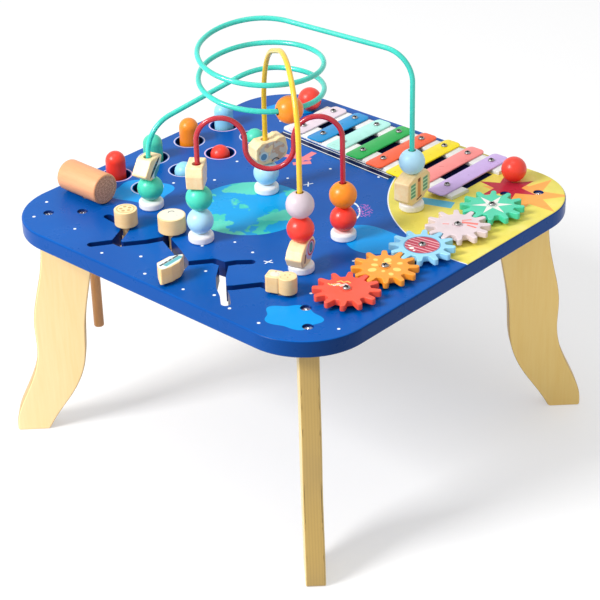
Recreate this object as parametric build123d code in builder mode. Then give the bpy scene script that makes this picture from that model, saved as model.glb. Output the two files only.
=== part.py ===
from build123d import *
import math
import os

# Musical activity table: a rounded square top on four wavy legs, with a bead maze on three wires,
# a slider maze, a gear train, a hammer bench with paired pegs, and a small xylophone.
# Millimetres. The origin is on the floor under the middle of the top, +Z is up.

# ---- driving dimensions -------------------------------------------------------------------------

# table top
table_height = 236.0
top_side = 400.0
top_thickness = 16.0
top_corner_radius = 63.0
top_edge_round = 2.0

# legs: measured along the diagonal; the inset runs from the top's corner to the middle of the head,
# the splay from the middle of the head to the outside of the foot
leg_thickness = 18.0
leg_inset = 41.2
leg_head_width = 51.0
leg_splay = 65.5
leg_foot_width = 31.5

# leg bolts and their threaded inserts
bolt_spacing = 31.7
bolt_diameter = 6.0
bolt_head_diameter = 10.0
bolt_head_height = 3.4
bolt_head_depth = 5.5
bolt_socket_across = 4.0
bolt_socket_depth = 2.0
bolt_reach = 24.0
insert_diameter = 9.0
insert_length = 20.0
fit_clearance = 0.05

# bead wires
wire_diameter = 4.8
collar_diameter = 23.6
collar_height = 8.0
collar_round = 3.2
push_nut_diameter = 11.0
push_nut_height = 4.5
teal_left_post = (-98.3, -92.4)
teal_right_post = (91.9, top_side / 2 - 138.5)
red_left_post = (-14.7, -110.3)
red_right_post = (81.7, -23.8)
yellow_left_post = (-36.9, 1.1)
yellow_right_post = (93.6, -94.1)

# teal wire: heights are above the top
coil_centre = (-11.6, -27.6)
coil_radius = 56.7
coil_low = 113.8
coil_high = 167.2
coil_tilt_rise = 3.4
coil_tilt_direction = 138.0
coil_full_turns = 2
coil_corners = 18
teal_left_shoulder = 80.8
teal_right_shoulder = 153.4
teal_left_bend = 35.5
teal_right_bend = 30.0
teal_left_straight = 55.0
teal_right_straight = 122.0

# red wire: two humps and a dip of equal width
red_hump_middle = 99.0
red_dip_middle = 92.0

# yellow wire
yellow_left_shoulder = 143.4
yellow_crown_place = 105.5
yellow_crown_height = 185.0
yellow_crown_bulge = 1.8
yellow_right_shoulder = 148.4
yellow_left_bend = 80.0
yellow_crown_bend = 62.0
yellow_right_bend = 60.0

# beads
bead_diameter = 24.4
large_bead_diameter = 25.2
bead_bore = 7.0
bead_flat = 8.6
bead_gap = 0.3
coil_bead_turn = 179.0

# wooden blocks: length, thickness and height; how far the middle lies from the wire, along and across;
# and the heading of the length. They hang a little to one side, as their bores are wider than the wire.
block_bore = 8.4
block_hang = 0.8
block_corner = 2.0
block_round = 1.2
leaf_size = (30.0, 16.0, 20.0)
leaf_middle = (-2.2, -0.8)
leaf_turn = 103.0
cabin_size = (39.0, 16.0, 28.0)
cabin_middle = (2.0, -0.8)
cabin_turn = 98.0
pebble_size = (35.0, 16.0, 22.5)
pebble_middle = (3.5, -0.8)
pebble_turn = 74.0
figure_size = (32.0, 16.0, 21.0)
figure_middle = (0.3, -0.8)
figure_turn = 108.0
brick_size = (27.0, 15.6, 22.0)
brick_middle = (2.3, -1.8)
brick_turn = 126.0

# hammer
hammer_place = (39.0 - top_side / 2, 84.0 - top_side / 2)
hammer_head_diameter = 30.0
hammer_head_length = 52.0
hammer_edge = 1.2
hammer_handle_diameter = 10.0
hammer_handle_end = 143.0
hammer_handle_depth = 22.0
rest_gap = 0.3
loose_clearance = 0.8

# pegs, in pairs across the rocker axle
peg_diameter = 19.4
peg_back_row = 26.0 - top_side / 2
peg_front_row = 69.3 - top_side / 2
peg_first = -67.0
peg_pitch = 50.3
peg_pairs = 4
peg_up = 25.0
peg_travel = 17.0
peg_flange_diameter = 24.0
peg_flange_height = 3.0
peg_foot_radius = 16.0
peg_hole_diameter = 28.0
running_clearance = 0.3

# peg box under the top
guide_thickness = 10.0
box_side_margin = 20.0
box_wall = 6.0
box_depth = 50.0
axle_diameter = 6.0
axle_clearance = 0.06
rocker_tip_radius = 5.0
rocker_width = 8.0
rocker_thickness = 6.0
rocker_hub_diameter = 13.0
rocker_arm = 22.6

# gears
gear_teeth = 12
gear_outer_diameter = 60.0
gear_root_diameter = 41.6
gear_tooth_root = 6.6
gear_tooth_tip = 4.4
gear_tip_round = 2.1
gear_root_round = 1.6
gear_thickness = 6.0
gear_pitch = 51.5
gear_count = 5
gear_row = top_side / 2 - 43.7
gear_row_middle = -2.7
gear_phase = 4.0
gear_lift = 3.0
bush_diameter = 9.0
bush_flange_diameter = 18.0
gear_screw_washer = 11.0
gear_screw_diameter = 4.0
screw_reach = 12.0
washer_thickness = 0.8
crown_height = 1.6

# xylophone: the distances from the back edge are to the middles of the shortest and longest bars
bar_count = 8
bar_pitch = 28.0
bar_first = -101.0
bar_width = 19.5
bar_thickness = 2.6
bar_corner = 4.5
bar_short_length = 73.0
bar_long_length = 106.0
bar_short_from_edge = 53.5
bar_long_from_edge = 56.0
bar_short_screws = 45.7
bar_long_screws = 69.0
screws_short_from_edge = 52.1
screws_long_from_edge = 54.4
felt_width = 24.0
felt_thickness = 3.5
felt_overhang = 17.0
bar_screw_diameter = 3.0
bar_screw_hole = 4.6
bar_screw_washer = 8.0
bar_screw_lift = 0.3

# beaters
beater_row = top_side / 2 - 32.0
beater_spread = 131.0
beater_ball_diameter = 24.4
beater_stick_diameter = 5.0
beater_stick_end = 120.0
beater_stick_depth = 12.0

# slider maze: a channel is a chain of straight runs; each point is x and the distance from the front edge
channel_width = 8.6
slider_stem_diameter = 7.4
slider_lift = 2.5
slider_height = 15.5
slider_disc_diameter = 15.0
slider_disc_height = 3.0
slider_disc_gap = 0.5
slider_round = 0.8
corner_a = (-72.5, 37.0)
corner_b = (-42.0, 71.0)
corner_c = (6.0, 48.0)
corner_d = (33.6, 69.5)
corner_e = (62.0, 37.0)
drum_place = (-87.0, 64.6)
disc_place = (-45.7, 83.4)
rocket_place = (17.0, 20.0)
cloud_place = (108.0, 64.0)
channels = [
    [(-85.0, 19.0), corner_a, (-64.5, 36.5), (-50.0, 55.5), corner_b, disc_place],
    [corner_a, (-81.0, 55.0), drum_place, (-114.6, 67.0)],
    [corner_b, (-14.6, 59.0), corner_c, rocket_place],
    [corner_c, (22.0, 68.3), corner_d, (39.9, 79.4), (49.0, 88.0)],
    [corner_d, (48.5, 50.0), corner_e, (74.0, 29.0), (83.7, 20.0)],
    [corner_e, (69.5, 44.0), (84.4, 64.0), cloud_place],
]
drum_diameter = 21.6
disc_diameter = 26.0
rocket_length = 36.0
rocket_width = 15.0
rocket_turn = 4.0
cloud_lobe = 17.0
cloud_small_lobe = 14.0
cloud_spread = 12.0
cloud_turn = 22.0

# ---- heights that follow ------------------------------------------------------------------------

top_face = table_height
under_face = table_height - top_thickness
wire_radius = wire_diameter / 2
leg_angles = {"front_leg": -45.0, "right_leg": 45.0, "rear_leg": 135.0, "left_leg": 225.0}
corner_reach = (top_side / 2 - top_corner_radius) * math.sqrt(2) + top_corner_radius
leg_head_middle = corner_reach - leg_inset
leg_foot_reach = leg_head_middle + leg_splay
bolt_places = [leg_head_middle - bolt_spacing / 2, leg_head_middle + bolt_spacing / 2]
posts = [
    teal_left_post, teal_right_post, red_left_post, red_right_post, yellow_left_post, yellow_right_post,
]
peg_rows_y = [peg_first + peg_pitch * n for n in range(peg_pairs)]
gear_rows_y = [gear_row_middle + gear_pitch * (n - (gear_count - 1) / 2) for n in range(gear_count)]
axle_x = (peg_back_row + peg_front_row) / 2
guide_under = under_face - guide_thickness
peg_foot_rise = peg_foot_radius - math.sqrt(peg_foot_radius**2 - (peg_flange_diameter / 2) ** 2)
peg_up_foot = guide_under - running_clearance - peg_flange_height - peg_foot_rise
axle_height = peg_up_foot - peg_travel / 2 - running_clearance - rocker_tip_radius
rocker_swing = math.degrees(math.asin(peg_travel / 2 / rocker_arm))
box_low_y = peg_rows_y[0] - peg_pitch / 2 - box_wall
box_high_y = peg_rows_y[-1] + peg_pitch / 2 + box_wall
box_low_x = peg_back_row - box_side_margin
box_high_x = peg_front_row + box_side_margin

os.makedirs("parts", exist_ok=True)


def save(part, name):
    part.label = name
    export_step(part, f"parts/{name}.step")


def on_circle(middle, radius, degrees):
    angle = math.radians(degrees)
    return (middle[0] + radius * math.cos(angle), middle[1] + radius * math.sin(angle))


def heading(start, end):
    return math.degrees(math.atan2(end[1] - start[1], end[0] - start[0]))


def distance(start, end):
    return math.hypot(end[0] - start[0], end[1] - start[1])


def from_front(point):
    return (point[0], point[1] - top_side / 2)


def bolt_spots():
    return [on_circle((0, 0), place, angle) for angle in leg_angles.values() for place in bolt_places]


def bar_value(short, long, number):
    return short + (long - short) * number / (bar_count - 1)


def bar_screw_spots():
    spots = []
    for number in range(bar_count):
        x = bar_first + bar_pitch * number
        middle = top_side / 2 - bar_value(screws_short_from_edge, screws_long_from_edge, number)
        half = bar_value(bar_short_screws, bar_long_screws, number) / 2
        spots += [(x, middle - half), (x, middle + half)]
    return spots


# ---- table top ----------------------------------------------------------------------------------


def make_table_top():
    with BuildPart() as table_top:
        with BuildSketch(Plane.XY.offset(under_face)):
            RectangleRounded(top_side, top_side, top_corner_radius)
        extrude(amount=top_thickness)
        outside = table_top.edges().filter_by(Plane.XY)
        fillet(outside, radius=top_edge_round)
        with BuildSketch(Plane.XY.offset(under_face)):
            for channel in channels:
                points = [from_front(point) for point in channel]
                for start, end in zip(points, points[1:]):
                    middle = ((start[0] + end[0]) / 2, (start[1] + end[1]) / 2)
                    with Locations(middle):
                        SlotCenterToCenter(distance(start, end), channel_width, rotation=heading(start, end))
            for x in (peg_back_row, peg_front_row):
                with Locations(*[(x, y) for y in peg_rows_y]):
                    Circle(peg_hole_diameter / 2)
            with Locations(*posts):
                Circle(wire_radius + fit_clearance)
            with Locations(hammer_place):
                Circle(hammer_handle_diameter / 2 + loose_clearance)
            with Locations((-beater_spread, beater_row), (beater_spread, beater_row)):
                Circle(beater_stick_diameter / 2 + loose_clearance)
            with Locations(*bolt_spots()):
                Circle(bolt_diameter / 2 + fit_clearance)
        extrude(amount=top_thickness, mode=Mode.SUBTRACT)
        with BuildSketch(Plane.XY.offset(top_face)):
            with Locations(*bolt_spots()):
                Circle(bolt_head_diameter / 2 + fit_clearance)
        extrude(amount=-bolt_head_depth, mode=Mode.SUBTRACT)
        with BuildSketch(Plane.XY.offset(top_face)):
            with Locations(*[(gear_row, y) for y in gear_rows_y]):
                Circle(gear_screw_diameter / 2 + fit_clearance)
            with Locations(*bar_screw_spots()):
                Circle(bar_screw_diameter / 2 + fit_clearance)
        extrude(amount=-screw_reach, mode=Mode.SUBTRACT)
    save(table_top.part, "table_top")


# ---- legs, bolts and inserts --------------------------------------------------------------------


def leg_outline():
    """Both edges of a leg: places are shares of the way from head to foot, heights are shares of the leg."""
    outer_head = leg_head_middle + leg_head_width / 2
    inner_head = leg_head_middle - leg_head_width / 2
    outer_way = leg_foot_reach - outer_head
    inner_way = leg_foot_reach - leg_foot_width - inner_head
    outer = [(0, 1), (0.112, 0.78), (0.35, 0.544), (0.34, 0.401), (0.6, 0.233), (0.962, 0.077), (1, 0)]
    inner = [(1, 0), (0.773, 0.1), (0.513, 0.205), (0.319, 0.342), (0.264, 0.53), (0.21, 0.635), (0, 1)]
    return (
        [(outer_head + outer_way * place, under_face * height) for place, height in outer],
        [(inner_head + inner_way * place, under_face * height) for place, height in inner],
    )


def make_leg(name, angle):
    outer, inner = leg_outline()
    side = Plane(
        origin=(0, 0, 0),
        x_dir=(math.cos(math.radians(angle)), math.sin(math.radians(angle)), 0),
        z_dir=(math.sin(math.radians(angle)), -math.cos(math.radians(angle)), 0),
    )
    with BuildPart() as leg:
        with BuildSketch(side):
            with BuildLine():
                Spline(*outer, tangents=[(0, -1), (0, -1)])
                Line(outer[-1], inner[0])
                Spline(*inner, tangents=[(-0.5, 1), (-0.1, 1)])
                Line(inner[-1], outer[0])
            make_face()
        extrude(amount=leg_thickness / 2, both=True)
        with BuildSketch(Plane.XY.offset(under_face)):
            with Locations(*[on_circle((0, 0), place, angle) for place in bolt_places]):
                Circle(insert_diameter / 2 + fit_clearance)
        extrude(amount=-(bolt_reach + 4.0), mode=Mode.SUBTRACT)
    save(leg.part, name)


def make_bolts():
    head_top = top_face - bolt_head_depth + bolt_head_height
    with BuildPart() as leg_bolts:
        with BuildSketch(Plane.XY.offset(head_top)):
            with Locations(*bolt_spots()):
                Circle(bolt_head_diameter / 2)
        extrude(amount=-bolt_head_height)
        heads = leg_bolts.edges().filter_by(Plane.XY).group_by(Axis.Z)[-1]
        fillet(heads, radius=1.0)
        with BuildSketch(Plane.XY.offset(head_top)):
            with Locations(*bolt_spots()):
                RegularPolygon(bolt_socket_across / 2, 6, major_radius=False)
        extrude(amount=-bolt_socket_depth, mode=Mode.SUBTRACT)
        with BuildSketch(Plane.XY.offset(head_top - bolt_head_height)):
            with Locations(*bolt_spots()):
                Circle(bolt_diameter / 2)
        extrude(amount=-(top_thickness - bolt_head_depth + bolt_reach))
    save(leg_bolts.part, "leg_bolts")
    with BuildPart() as leg_inserts:
        with BuildSketch(Plane.XY.offset(under_face - 1.0)):
            with Locations(*bolt_spots()):
                Circle(insert_diameter / 2)
                Circle(bolt_diameter / 2 + fit_clearance, mode=Mode.SUBTRACT)
        extrude(amount=-insert_length)
    save(leg_inserts.part, "leg_inserts")


# ---- bead wires ---------------------------------------------------------------------------------


def lifted(point, height):
    return (point[0], point[1], top_face + height)


def along(start, end, share, height, sideways=0.0):
    run = distance(start, end)
    dx, dy = (end[0] - start[0]) / run, (end[1] - start[1]) / run
    return lifted((start[0] + dx * share - dy * sideways, start[1] + dy * share + dx * sideways), height)


def coil_tangents():
    """Angles on the coil where the two straight runs from the posts touch it."""
    reach_in = distance(teal_left_post, coil_centre)
    reach_out = distance(teal_right_post, coil_centre)
    start = heading(coil_centre, teal_left_post) - math.degrees(math.acos(coil_radius / reach_in))
    end = heading(coil_centre, teal_right_post) + math.degrees(math.acos(coil_radius / reach_out))
    turn = (start - end) % 360 + 360 * coil_full_turns
    return start, turn


def coil_corner_points():
    """Corners of the many-sided coil: each is rounded with nearly the coil's own radius."""
    start, turn = coil_tangents()
    step = turn / coil_corners
    reach = coil_radius / math.cos(math.radians(step / 2))
    points = []
    for number in range(coil_corners):
        passed = step * (number + 0.5)
        angle = start - passed
        tilt = coil_tilt_rise * math.cos(math.radians(angle - coil_tilt_direction))
        height = coil_low + (coil_high - coil_low) * passed / turn + tilt
        points.append(lifted(on_circle(coil_centre, reach, angle), height))
    return points


def teal_route():
    """The bent part of the teal wire: it starts and ends on top of its two straight posts."""
    points = [lifted(teal_left_post, teal_left_straight), lifted(teal_left_post, teal_left_shoulder)]
    points += coil_corner_points()
    points += [lifted(teal_right_post, teal_right_shoulder), lifted(teal_right_post, teal_right_straight)]
    radii = [teal_left_bend] + [coil_radius * 0.97] * coil_corners + [teal_right_bend]
    return points, radii


def red_route():
    foot = -top_thickness - push_nut_height
    width = distance(red_left_post, red_right_post) / 3
    hump = red_hump_middle + width / 2
    dip = red_dip_middle - width / 2
    corners = [(0, hump), (width, hump), (width, dip), (2 * width, dip), (2 * width, hump), (3 * width, hump)]
    points = [along(red_left_post, red_right_post, place, height) for place, height in corners]
    points = [lifted(red_left_post, foot)] + points + [lifted(red_right_post, foot)]
    return points, [width / 2 * 0.995] * 6


def yellow_route():
    foot = -top_thickness - push_nut_height
    points = [
        lifted(yellow_left_post, foot),
        lifted(yellow_left_post, yellow_left_shoulder),
        along(yellow_left_post, yellow_right_post, yellow_crown_place, yellow_crown_height, yellow_crown_bulge),
        lifted(yellow_right_post, yellow_right_shoulder),
        lifted(yellow_right_post, foot),
    ]
    return points, [yellow_left_bend, yellow_crown_bend, yellow_right_bend]


def make_wire(name, route):
    points, radii = route
    with BuildPart() as wire:
        with BuildLine() as line:
            FilletPolyline(*points, radius=radii)
        with BuildSketch(Plane(origin=points[0], z_dir=(0, 0, 1))):
            Circle(wire_radius)
        sweep(path=line.wires()[0])
    save(wire.part, name)


def make_teal_posts():
    foot = top_face - top_thickness - push_nut_height
    with BuildPart() as teal_wire_posts:
        for post, straight in ((teal_left_post, teal_left_straight), (teal_right_post, teal_right_straight)):
            with BuildSketch(Plane.XY.offset(foot)):
                with Locations(post):
                    Circle(wire_radius)
            extrude(amount=top_face + straight - foot)
    save(teal_wire_posts.part, "teal_wire_posts")


def make_collars():
    with BuildPart() as wire_collars:
        with BuildSketch(Plane.XY.offset(top_face)):
            with Locations(*posts):
                Circle(collar_diameter / 2)
        extrude(amount=collar_height)
        upper = wire_collars.edges().group_by(Axis.Z)[-1]
        fillet(upper, radius=collar_round)
        lower = wire_collars.edges().group_by(Axis.Z)[0]
        fillet(lower, radius=collar_round / 2)
        with BuildSketch(Plane.XY.offset(top_face)):
            with Locations(*posts):
                Circle(wire_radius + fit_clearance)
        extrude(amount=collar_height, mode=Mode.SUBTRACT)
    save(wire_collars.part, "wire_collars")
    with BuildPart() as wire_push_nuts:
        with BuildSketch(Plane.XY.offset(under_face)):
            with Locations(*posts):
                Circle(push_nut_diameter / 2)
        extrude(amount=-(push_nut_height + 1.5))
        lower = wire_push_nuts.edges().group_by(Axis.Z)[0]
        fillet(lower, radius=1.5)
        with BuildSketch(Plane.XY.offset(under_face)):
            with Locations(*posts):
                Circle(wire_radius + fit_clearance)
        extrude(amount=-(push_nut_height + fit_clearance), mode=Mode.SUBTRACT)
    save(wire_push_nuts.part, "wire_push_nuts")


# ---- beads --------------------------------------------------------------------------------------


def ball_height(diameter):
    return math.sqrt(diameter**2 - bead_flat**2)


def make_ball(name, post, low, diameter):
    """A ball bead with small flats; low is the height of its lower flat above the top."""
    half = ball_height(diameter) / 2
    with BuildPart() as ball:
        with BuildSketch(Plane(origin=lifted(post, low + half), x_dir=(1, 0, 0), z_dir=(0, -1, 0))):
            with BuildLine():
                Line((bead_bore / 2, -half), (bead_flat / 2, -half))
                ThreePointArc((bead_flat / 2, -half), (diameter / 2, 0), (bead_flat / 2, half))
                Line((bead_flat / 2, half), (bead_bore / 2, half))
                Line((bead_bore / 2, half), (bead_bore / 2, -half))
            make_face()
        revolve(axis=Axis(lifted(post, 0), (0, 0, 1)))
    save(ball.part, name)
    return low + 2 * half + bead_gap


def side_plane(post, middle, turn):
    """Upright plane through a post's axis: its x runs level along turn, its y runs up."""
    angle = math.radians(turn)
    return Plane(
        origin=lifted(post, middle),
        x_dir=(math.cos(angle), math.sin(angle), 0),
        z_dir=(math.sin(angle), -math.cos(angle), 0),
    )


# Side outlines of the wooden blocks, as shares of half their length and half their height.
leaf_shape = [(-1, -0.35), (-0.4, -1), (0.15, -1), (0.5, -0.5), (0.8, 0.2), (1, 1), (-0.27, 1)]
cabin_shape = [
    (-1, -0.6), (-0.65, -1), (0.4, -1), (0.6, -0.75), (1, -0.65), (1, 0.55), (0.65, 1), (-0.3, 1), (-1, 0.7),
]
pebble_shape = [
    (-1, -0.4), (-0.7, -1), (0.3, -1), (0.85, -0.7), (1, -0.1), (0.85, 1.1), (0.5, 1.2), (0.2, 1), (-0.65, 1),
    (-1, 0.6),
]
figure_shape = [(-0.75, -1), (0.2, -1), (0.75, -0.3), (1, 0.3), (0.75, 1), (-0.25, 1), (-0.75, 0.45), (-1, -0.2)]
brick_shape = [(-0.85, -1), (0.85, -1), (0.8, -0.5), (1, 0.1), (0.9, 1), (-0.85, 1), (-1, 0.2)]


def make_block(name, post, low, size, middle, turn, shape):
    """A block sawn to its side outline and bored for the wire; it returns where the next bead starts."""
    length, thickness, height = size
    outline = [(middle[0] + length / 2 * x, height / 2 * z) for x, z in shape]
    upright = side_plane(post, low + height / 2, turn)
    bore = upright.origin - upright.z_dir * block_hang
    with BuildPart() as block:
        with BuildSketch(upright.offset(middle[1] - thickness / 2)) as side:
            Polygon(*outline, align=None)
            fillet(side.vertices(), radius=block_corner)
        extrude(amount=thickness)
        across = block.faces().sort_by(Axis(upright.origin, upright.z_dir))
        fillet(across[0].edges() + across[-1].edges(), radius=block_round)
        with BuildSketch(Plane.XY.offset(top_face + low)):
            with Locations((bore.X, bore.Y)):
                Circle(block_bore / 2)
        extrude(amount=height * 1.5, mode=Mode.SUBTRACT)
    save(block.part, name)
    return low + height + bead_gap


def make_post_beads():
    """Each post's beads from the collar upwards; every maker returns where the next bead starts."""
    start = collar_height + bead_gap
    low = make_ball("teal_post_green_ball", teal_left_post, start, bead_diameter)
    make_block("teal_post_leaf_block", teal_left_post, low, leaf_size, leaf_middle, leaf_turn, leaf_shape)
    low = make_block(
        "teal_post_cabin_block", teal_right_post, start, cabin_size, cabin_middle, cabin_turn, cabin_shape
    )
    make_ball("teal_post_blue_ball", teal_right_post, low, bead_diameter)
    low = make_ball("yellow_post_blue_ball", yellow_left_post, start, bead_diameter)
    make_block(
        "yellow_post_pebble_block", yellow_left_post, low, pebble_size, pebble_middle, pebble_turn, pebble_shape
    )
    low = make_block(
        "yellow_post_figure_block", yellow_right_post, start, figure_size, figure_middle, figure_turn, figure_shape
    )
    low = make_ball("yellow_post_red_ball", yellow_right_post, low, bead_diameter)
    make_ball("yellow_post_white_ball", yellow_right_post, low, large_bead_diameter)
    low = make_ball("red_post_blue_ball", red_left_post, start, bead_diameter)
    low = make_ball("red_post_green_ball", red_left_post, low, bead_diameter)
    make_block("red_post_brick_block", red_left_post, low, brick_size, brick_middle, brick_turn, brick_shape)
    low = make_ball("red_post_red_ball", red_right_post, start, bead_diameter)
    make_ball("red_post_orange_ball", red_right_post, low, large_bead_diameter)


def coil_arc_at(turned):
    """The rounded corner of the coil nearest to an angle passed from its start."""
    start, turn = coil_tangents()
    step = turn / coil_corners
    number = round(turned / step - 0.5)
    corners = [Vector(*point) for point in coil_corner_points()]
    corner, before, after = corners[number], corners[number - 1], corners[number + 1]
    back = (before - corner).normalized()
    ahead = (after - corner).normalized()
    opening = math.radians(back.get_angle(ahead))
    radius = coil_radius * 0.97
    inward = (back + ahead).normalized()
    centre = corner + inward * (radius / math.sin(opening / 2))
    normal = ahead.cross(back).normalized()
    swing = turned - step * (number + 0.5)
    return centre, inward * -1, normal, radius, swing


def make_coil_bead():
    """The ball on the coil: it swings about the centre of the arc that it sits on."""
    centre, outward, normal, radius, swing = coil_arc_at(coil_bead_turn)
    half = ball_height(large_bead_diameter) / 2
    direction = outward.rotate(Axis((0, 0, 0), normal), swing)
    travel = normal.cross(direction)
    sag = radius - math.sqrt(radius**2 - half**2)
    middle = centre + direction * (radius - sag / 2)
    with BuildPart() as ball:
        with BuildSketch(Plane(origin=middle, x_dir=direction, z_dir=direction.cross(travel))):
            with BuildLine():
                Line((bead_bore / 2, -half), (bead_flat / 2, -half))
                ThreePointArc((bead_flat / 2, -half), (large_bead_diameter / 2, 0), (bead_flat / 2, half))
                Line((bead_flat / 2, half), (bead_bore / 2, half))
                Line((bead_bore / 2, half), (bead_bore / 2, -half))
            make_face()
        revolve(axis=Axis(middle, travel))
    save(ball.part, "coil_orange_ball")


# ---- hammer and beaters -------------------------------------------------------------------------


def make_hammer():
    x, y = hammer_place
    middle = top_face + hammer_head_diameter / 2 + rest_gap
    handle_top = middle + hammer_handle_depth - hammer_head_diameter / 2
    with BuildPart() as hammer_head:
        with BuildSketch(Plane(origin=(x, y, middle), x_dir=(0, 1, 0), z_dir=(1, 0, 0))):
            Circle(hammer_head_diameter / 2)
        extrude(amount=hammer_head_length / 2, both=True)
        rims = hammer_head.edges().filter_by(GeomType.CIRCLE)
        fillet(rims, radius=hammer_edge)
        with BuildSketch(Plane.XY.offset(top_face)):
            with Locations(hammer_place):
                Circle(hammer_handle_diameter / 2 + fit_clearance)
        extrude(amount=handle_top - top_face, mode=Mode.SUBTRACT)
    save(hammer_head.part, "hammer_head")
    with BuildPart() as hammer_handle:
        with BuildSketch(Plane.XY.offset(top_face - hammer_handle_end)):
            with Locations(hammer_place):
                Circle(hammer_handle_diameter / 2)
        extrude(amount=handle_top - top_face + hammer_handle_end)
        lower = hammer_handle.edges().group_by(Axis.Z)[0]
        fillet(lower, radius=hammer_edge)
    save(hammer_handle.part, "hammer_handle")


def make_beater(name, side):
    place = (side * beater_spread, beater_row)
    middle = top_face + beater_ball_diameter / 2 + rest_gap
    stick_top = middle - beater_ball_diameter / 2 + beater_stick_depth
    stick_low = top_face - beater_stick_end
    radius = beater_ball_diameter / 2
    with BuildPart() as beater:
        with BuildSketch(Plane(origin=(*place, middle), x_dir=(1, 0, 0), z_dir=(0, -1, 0))):
            with BuildLine():
                Line((0, -radius), (0, radius))
                ThreePointArc((0, radius), (radius, 0), (0, -radius))
            make_face()
        revolve(axis=Axis((*place, 0), (0, 0, 1)))
        with BuildSketch(Plane.XY.offset(stick_top)):
            with Locations(place):
                Circle(beater_stick_diameter / 2 + fit_clearance)
        extrude(amount=-radius * 2, mode=Mode.SUBTRACT)
        with BuildSketch(Plane.XY.offset(stick_low)):
            with Locations(place):
                Circle(beater_stick_diameter / 2)
        extrude(amount=stick_top - fit_clearance - stick_low)
    save(beater.part, name)


# ---- pegs, rockers and their box ----------------------------------------------------------------


def make_peg(name, x, y, top):
    """A peg with a round crown, a flange that stops it under the guide board, and a round foot."""
    foot = top - peg_up + peg_up_foot
    flange_low = foot + peg_foot_rise
    crown = top_face + top
    radius, flange = peg_diameter / 2, peg_flange_diameter / 2
    with BuildPart() as peg:
        with BuildSketch(Plane(origin=(x, y, 0), x_dir=(1, 0, 0), z_dir=(0, -1, 0))):
            with BuildLine():
                RadiusArc((0, foot), (flange, flange_low), -peg_foot_radius)
                Polyline(
                    (flange, flange_low),
                    (flange, flange_low + peg_flange_height),
                    (radius, flange_low + peg_flange_height),
                    (radius, crown - radius),
                )
                RadiusArc((radius, crown - radius), (0, crown), -radius)
                Line((0, crown), (0, foot))
            make_face()
        revolve(axis=Axis((x, y, 0), (0, 0, 1)))
    save(peg.part, name)


def make_pegs():
    for number, y in enumerate(peg_rows_y, start=1):
        make_peg(f"back_peg_{number}", peg_back_row, y, peg_up)
        make_peg(f"front_peg_{number}", peg_front_row, y, peg_up - peg_travel)


def make_rocker(name, y):
    """Beam with round tips and a long hub sleeve, tilted so that its back tip is up."""
    upright = Plane(origin=(axle_x, y, axle_height), x_dir=(1, 0, 0), z_dir=(0, -1, 0))
    with BuildPart() as rocker:
        with BuildSketch(upright):
            Rectangle(2 * rocker_arm, rocker_thickness, rotation=-rocker_swing)
            with PolarLocations(rocker_arm, 2, start_angle=-rocker_swing):
                Circle(rocker_tip_radius)
        extrude(amount=rocker_width / 2, both=True)
        with BuildSketch(upright):
            Circle(rocker_hub_diameter / 2)
        extrude(amount=peg_pitch / 2 - running_clearance, both=True)
        with BuildSketch(upright):
            Circle(axle_diameter / 2 + axle_clearance)
        extrude(amount=peg_pitch / 2, both=True, mode=Mode.SUBTRACT)
    save(rocker.part, name)


def make_peg_box():
    middle_x = (box_low_x + box_high_x) / 2
    middle_y = (box_low_y + box_high_y) / 2
    width, length = box_high_x - box_low_x, box_high_y - box_low_y
    with BuildPart() as peg_guide_board:
        with BuildSketch(Plane.XY.offset(under_face)):
            with Locations((middle_x, middle_y)):
                RectangleRounded(width, length, 8.0)
            for x in (peg_back_row, peg_front_row):
                with Locations(*[(x, y) for y in peg_rows_y]):
                    Circle(peg_diameter / 2 + running_clearance, mode=Mode.SUBTRACT)
        extrude(amount=-guide_thickness)
    save(peg_guide_board.part, "peg_guide_board")
    with BuildPart() as peg_box_frame:
        with BuildSketch(Plane.XY.offset(guide_under)):
            with Locations((middle_x, middle_y)):
                RectangleRounded(width, length, 8.0)
                Rectangle(width - 2 * box_wall, length - 2 * box_wall, mode=Mode.SUBTRACT)
        extrude(amount=-(box_depth - guide_thickness))
        with BuildSketch(Plane(origin=(axle_x, box_low_y, axle_height), x_dir=(1, 0, 0), z_dir=(0, -1, 0))):
            Circle(axle_diameter / 2 + fit_clearance)
        extrude(amount=-length, mode=Mode.SUBTRACT)
    save(peg_box_frame.part, "peg_box_frame")
    with BuildPart() as rocker_axle:
        with BuildSketch(Plane(origin=(axle_x, box_low_y, axle_height), x_dir=(1, 0, 0), z_dir=(0, -1, 0))):
            Circle(axle_diameter / 2)
        extrude(amount=-length)
    save(rocker_axle.part, "rocker_axle")


# ---- gears --------------------------------------------------------------------------------------


def gear_outline():
    """Corner points of the teeth, each with the radius that rounds it."""
    step = 360 / gear_teeth
    points = []
    for number in range(gear_teeth):
        for reach, half, radius in (
            (gear_root_diameter / 2, -gear_tooth_root / 2, gear_root_round),
            (gear_outer_diameter / 2, -gear_tooth_tip / 2, gear_tip_round),
            (gear_outer_diameter / 2, gear_tooth_tip / 2, gear_tip_round),
            (gear_root_diameter / 2, gear_tooth_root / 2, gear_root_round),
        ):
            spot = Vector(reach, half, 0).rotate(Axis.Z, number * step)
            points.append(((spot.X, spot.Y), radius))
    return points


def make_gear(number, y):
    phase = gear_phase if number % 2 == 0 else 180 / gear_teeth - gear_phase
    low = top_face + gear_lift
    teeth = gear_outline()
    with BuildPart() as gear:
        with BuildSketch(Plane(origin=(gear_row, y, low), x_dir=(1, 0, 0), z_dir=(0, 0, 1)).rotated((0, 0, phase))):
            with BuildLine():
                FilletPolyline(*[point for point, _ in teeth], radius=[radius for _, radius in teeth], close=True)
            make_face()
            Circle(bush_diameter / 2 + axle_clearance, mode=Mode.SUBTRACT)
        extrude(amount=gear_thickness)
    save(gear.part, f"gear_{number + 1}")


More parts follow.
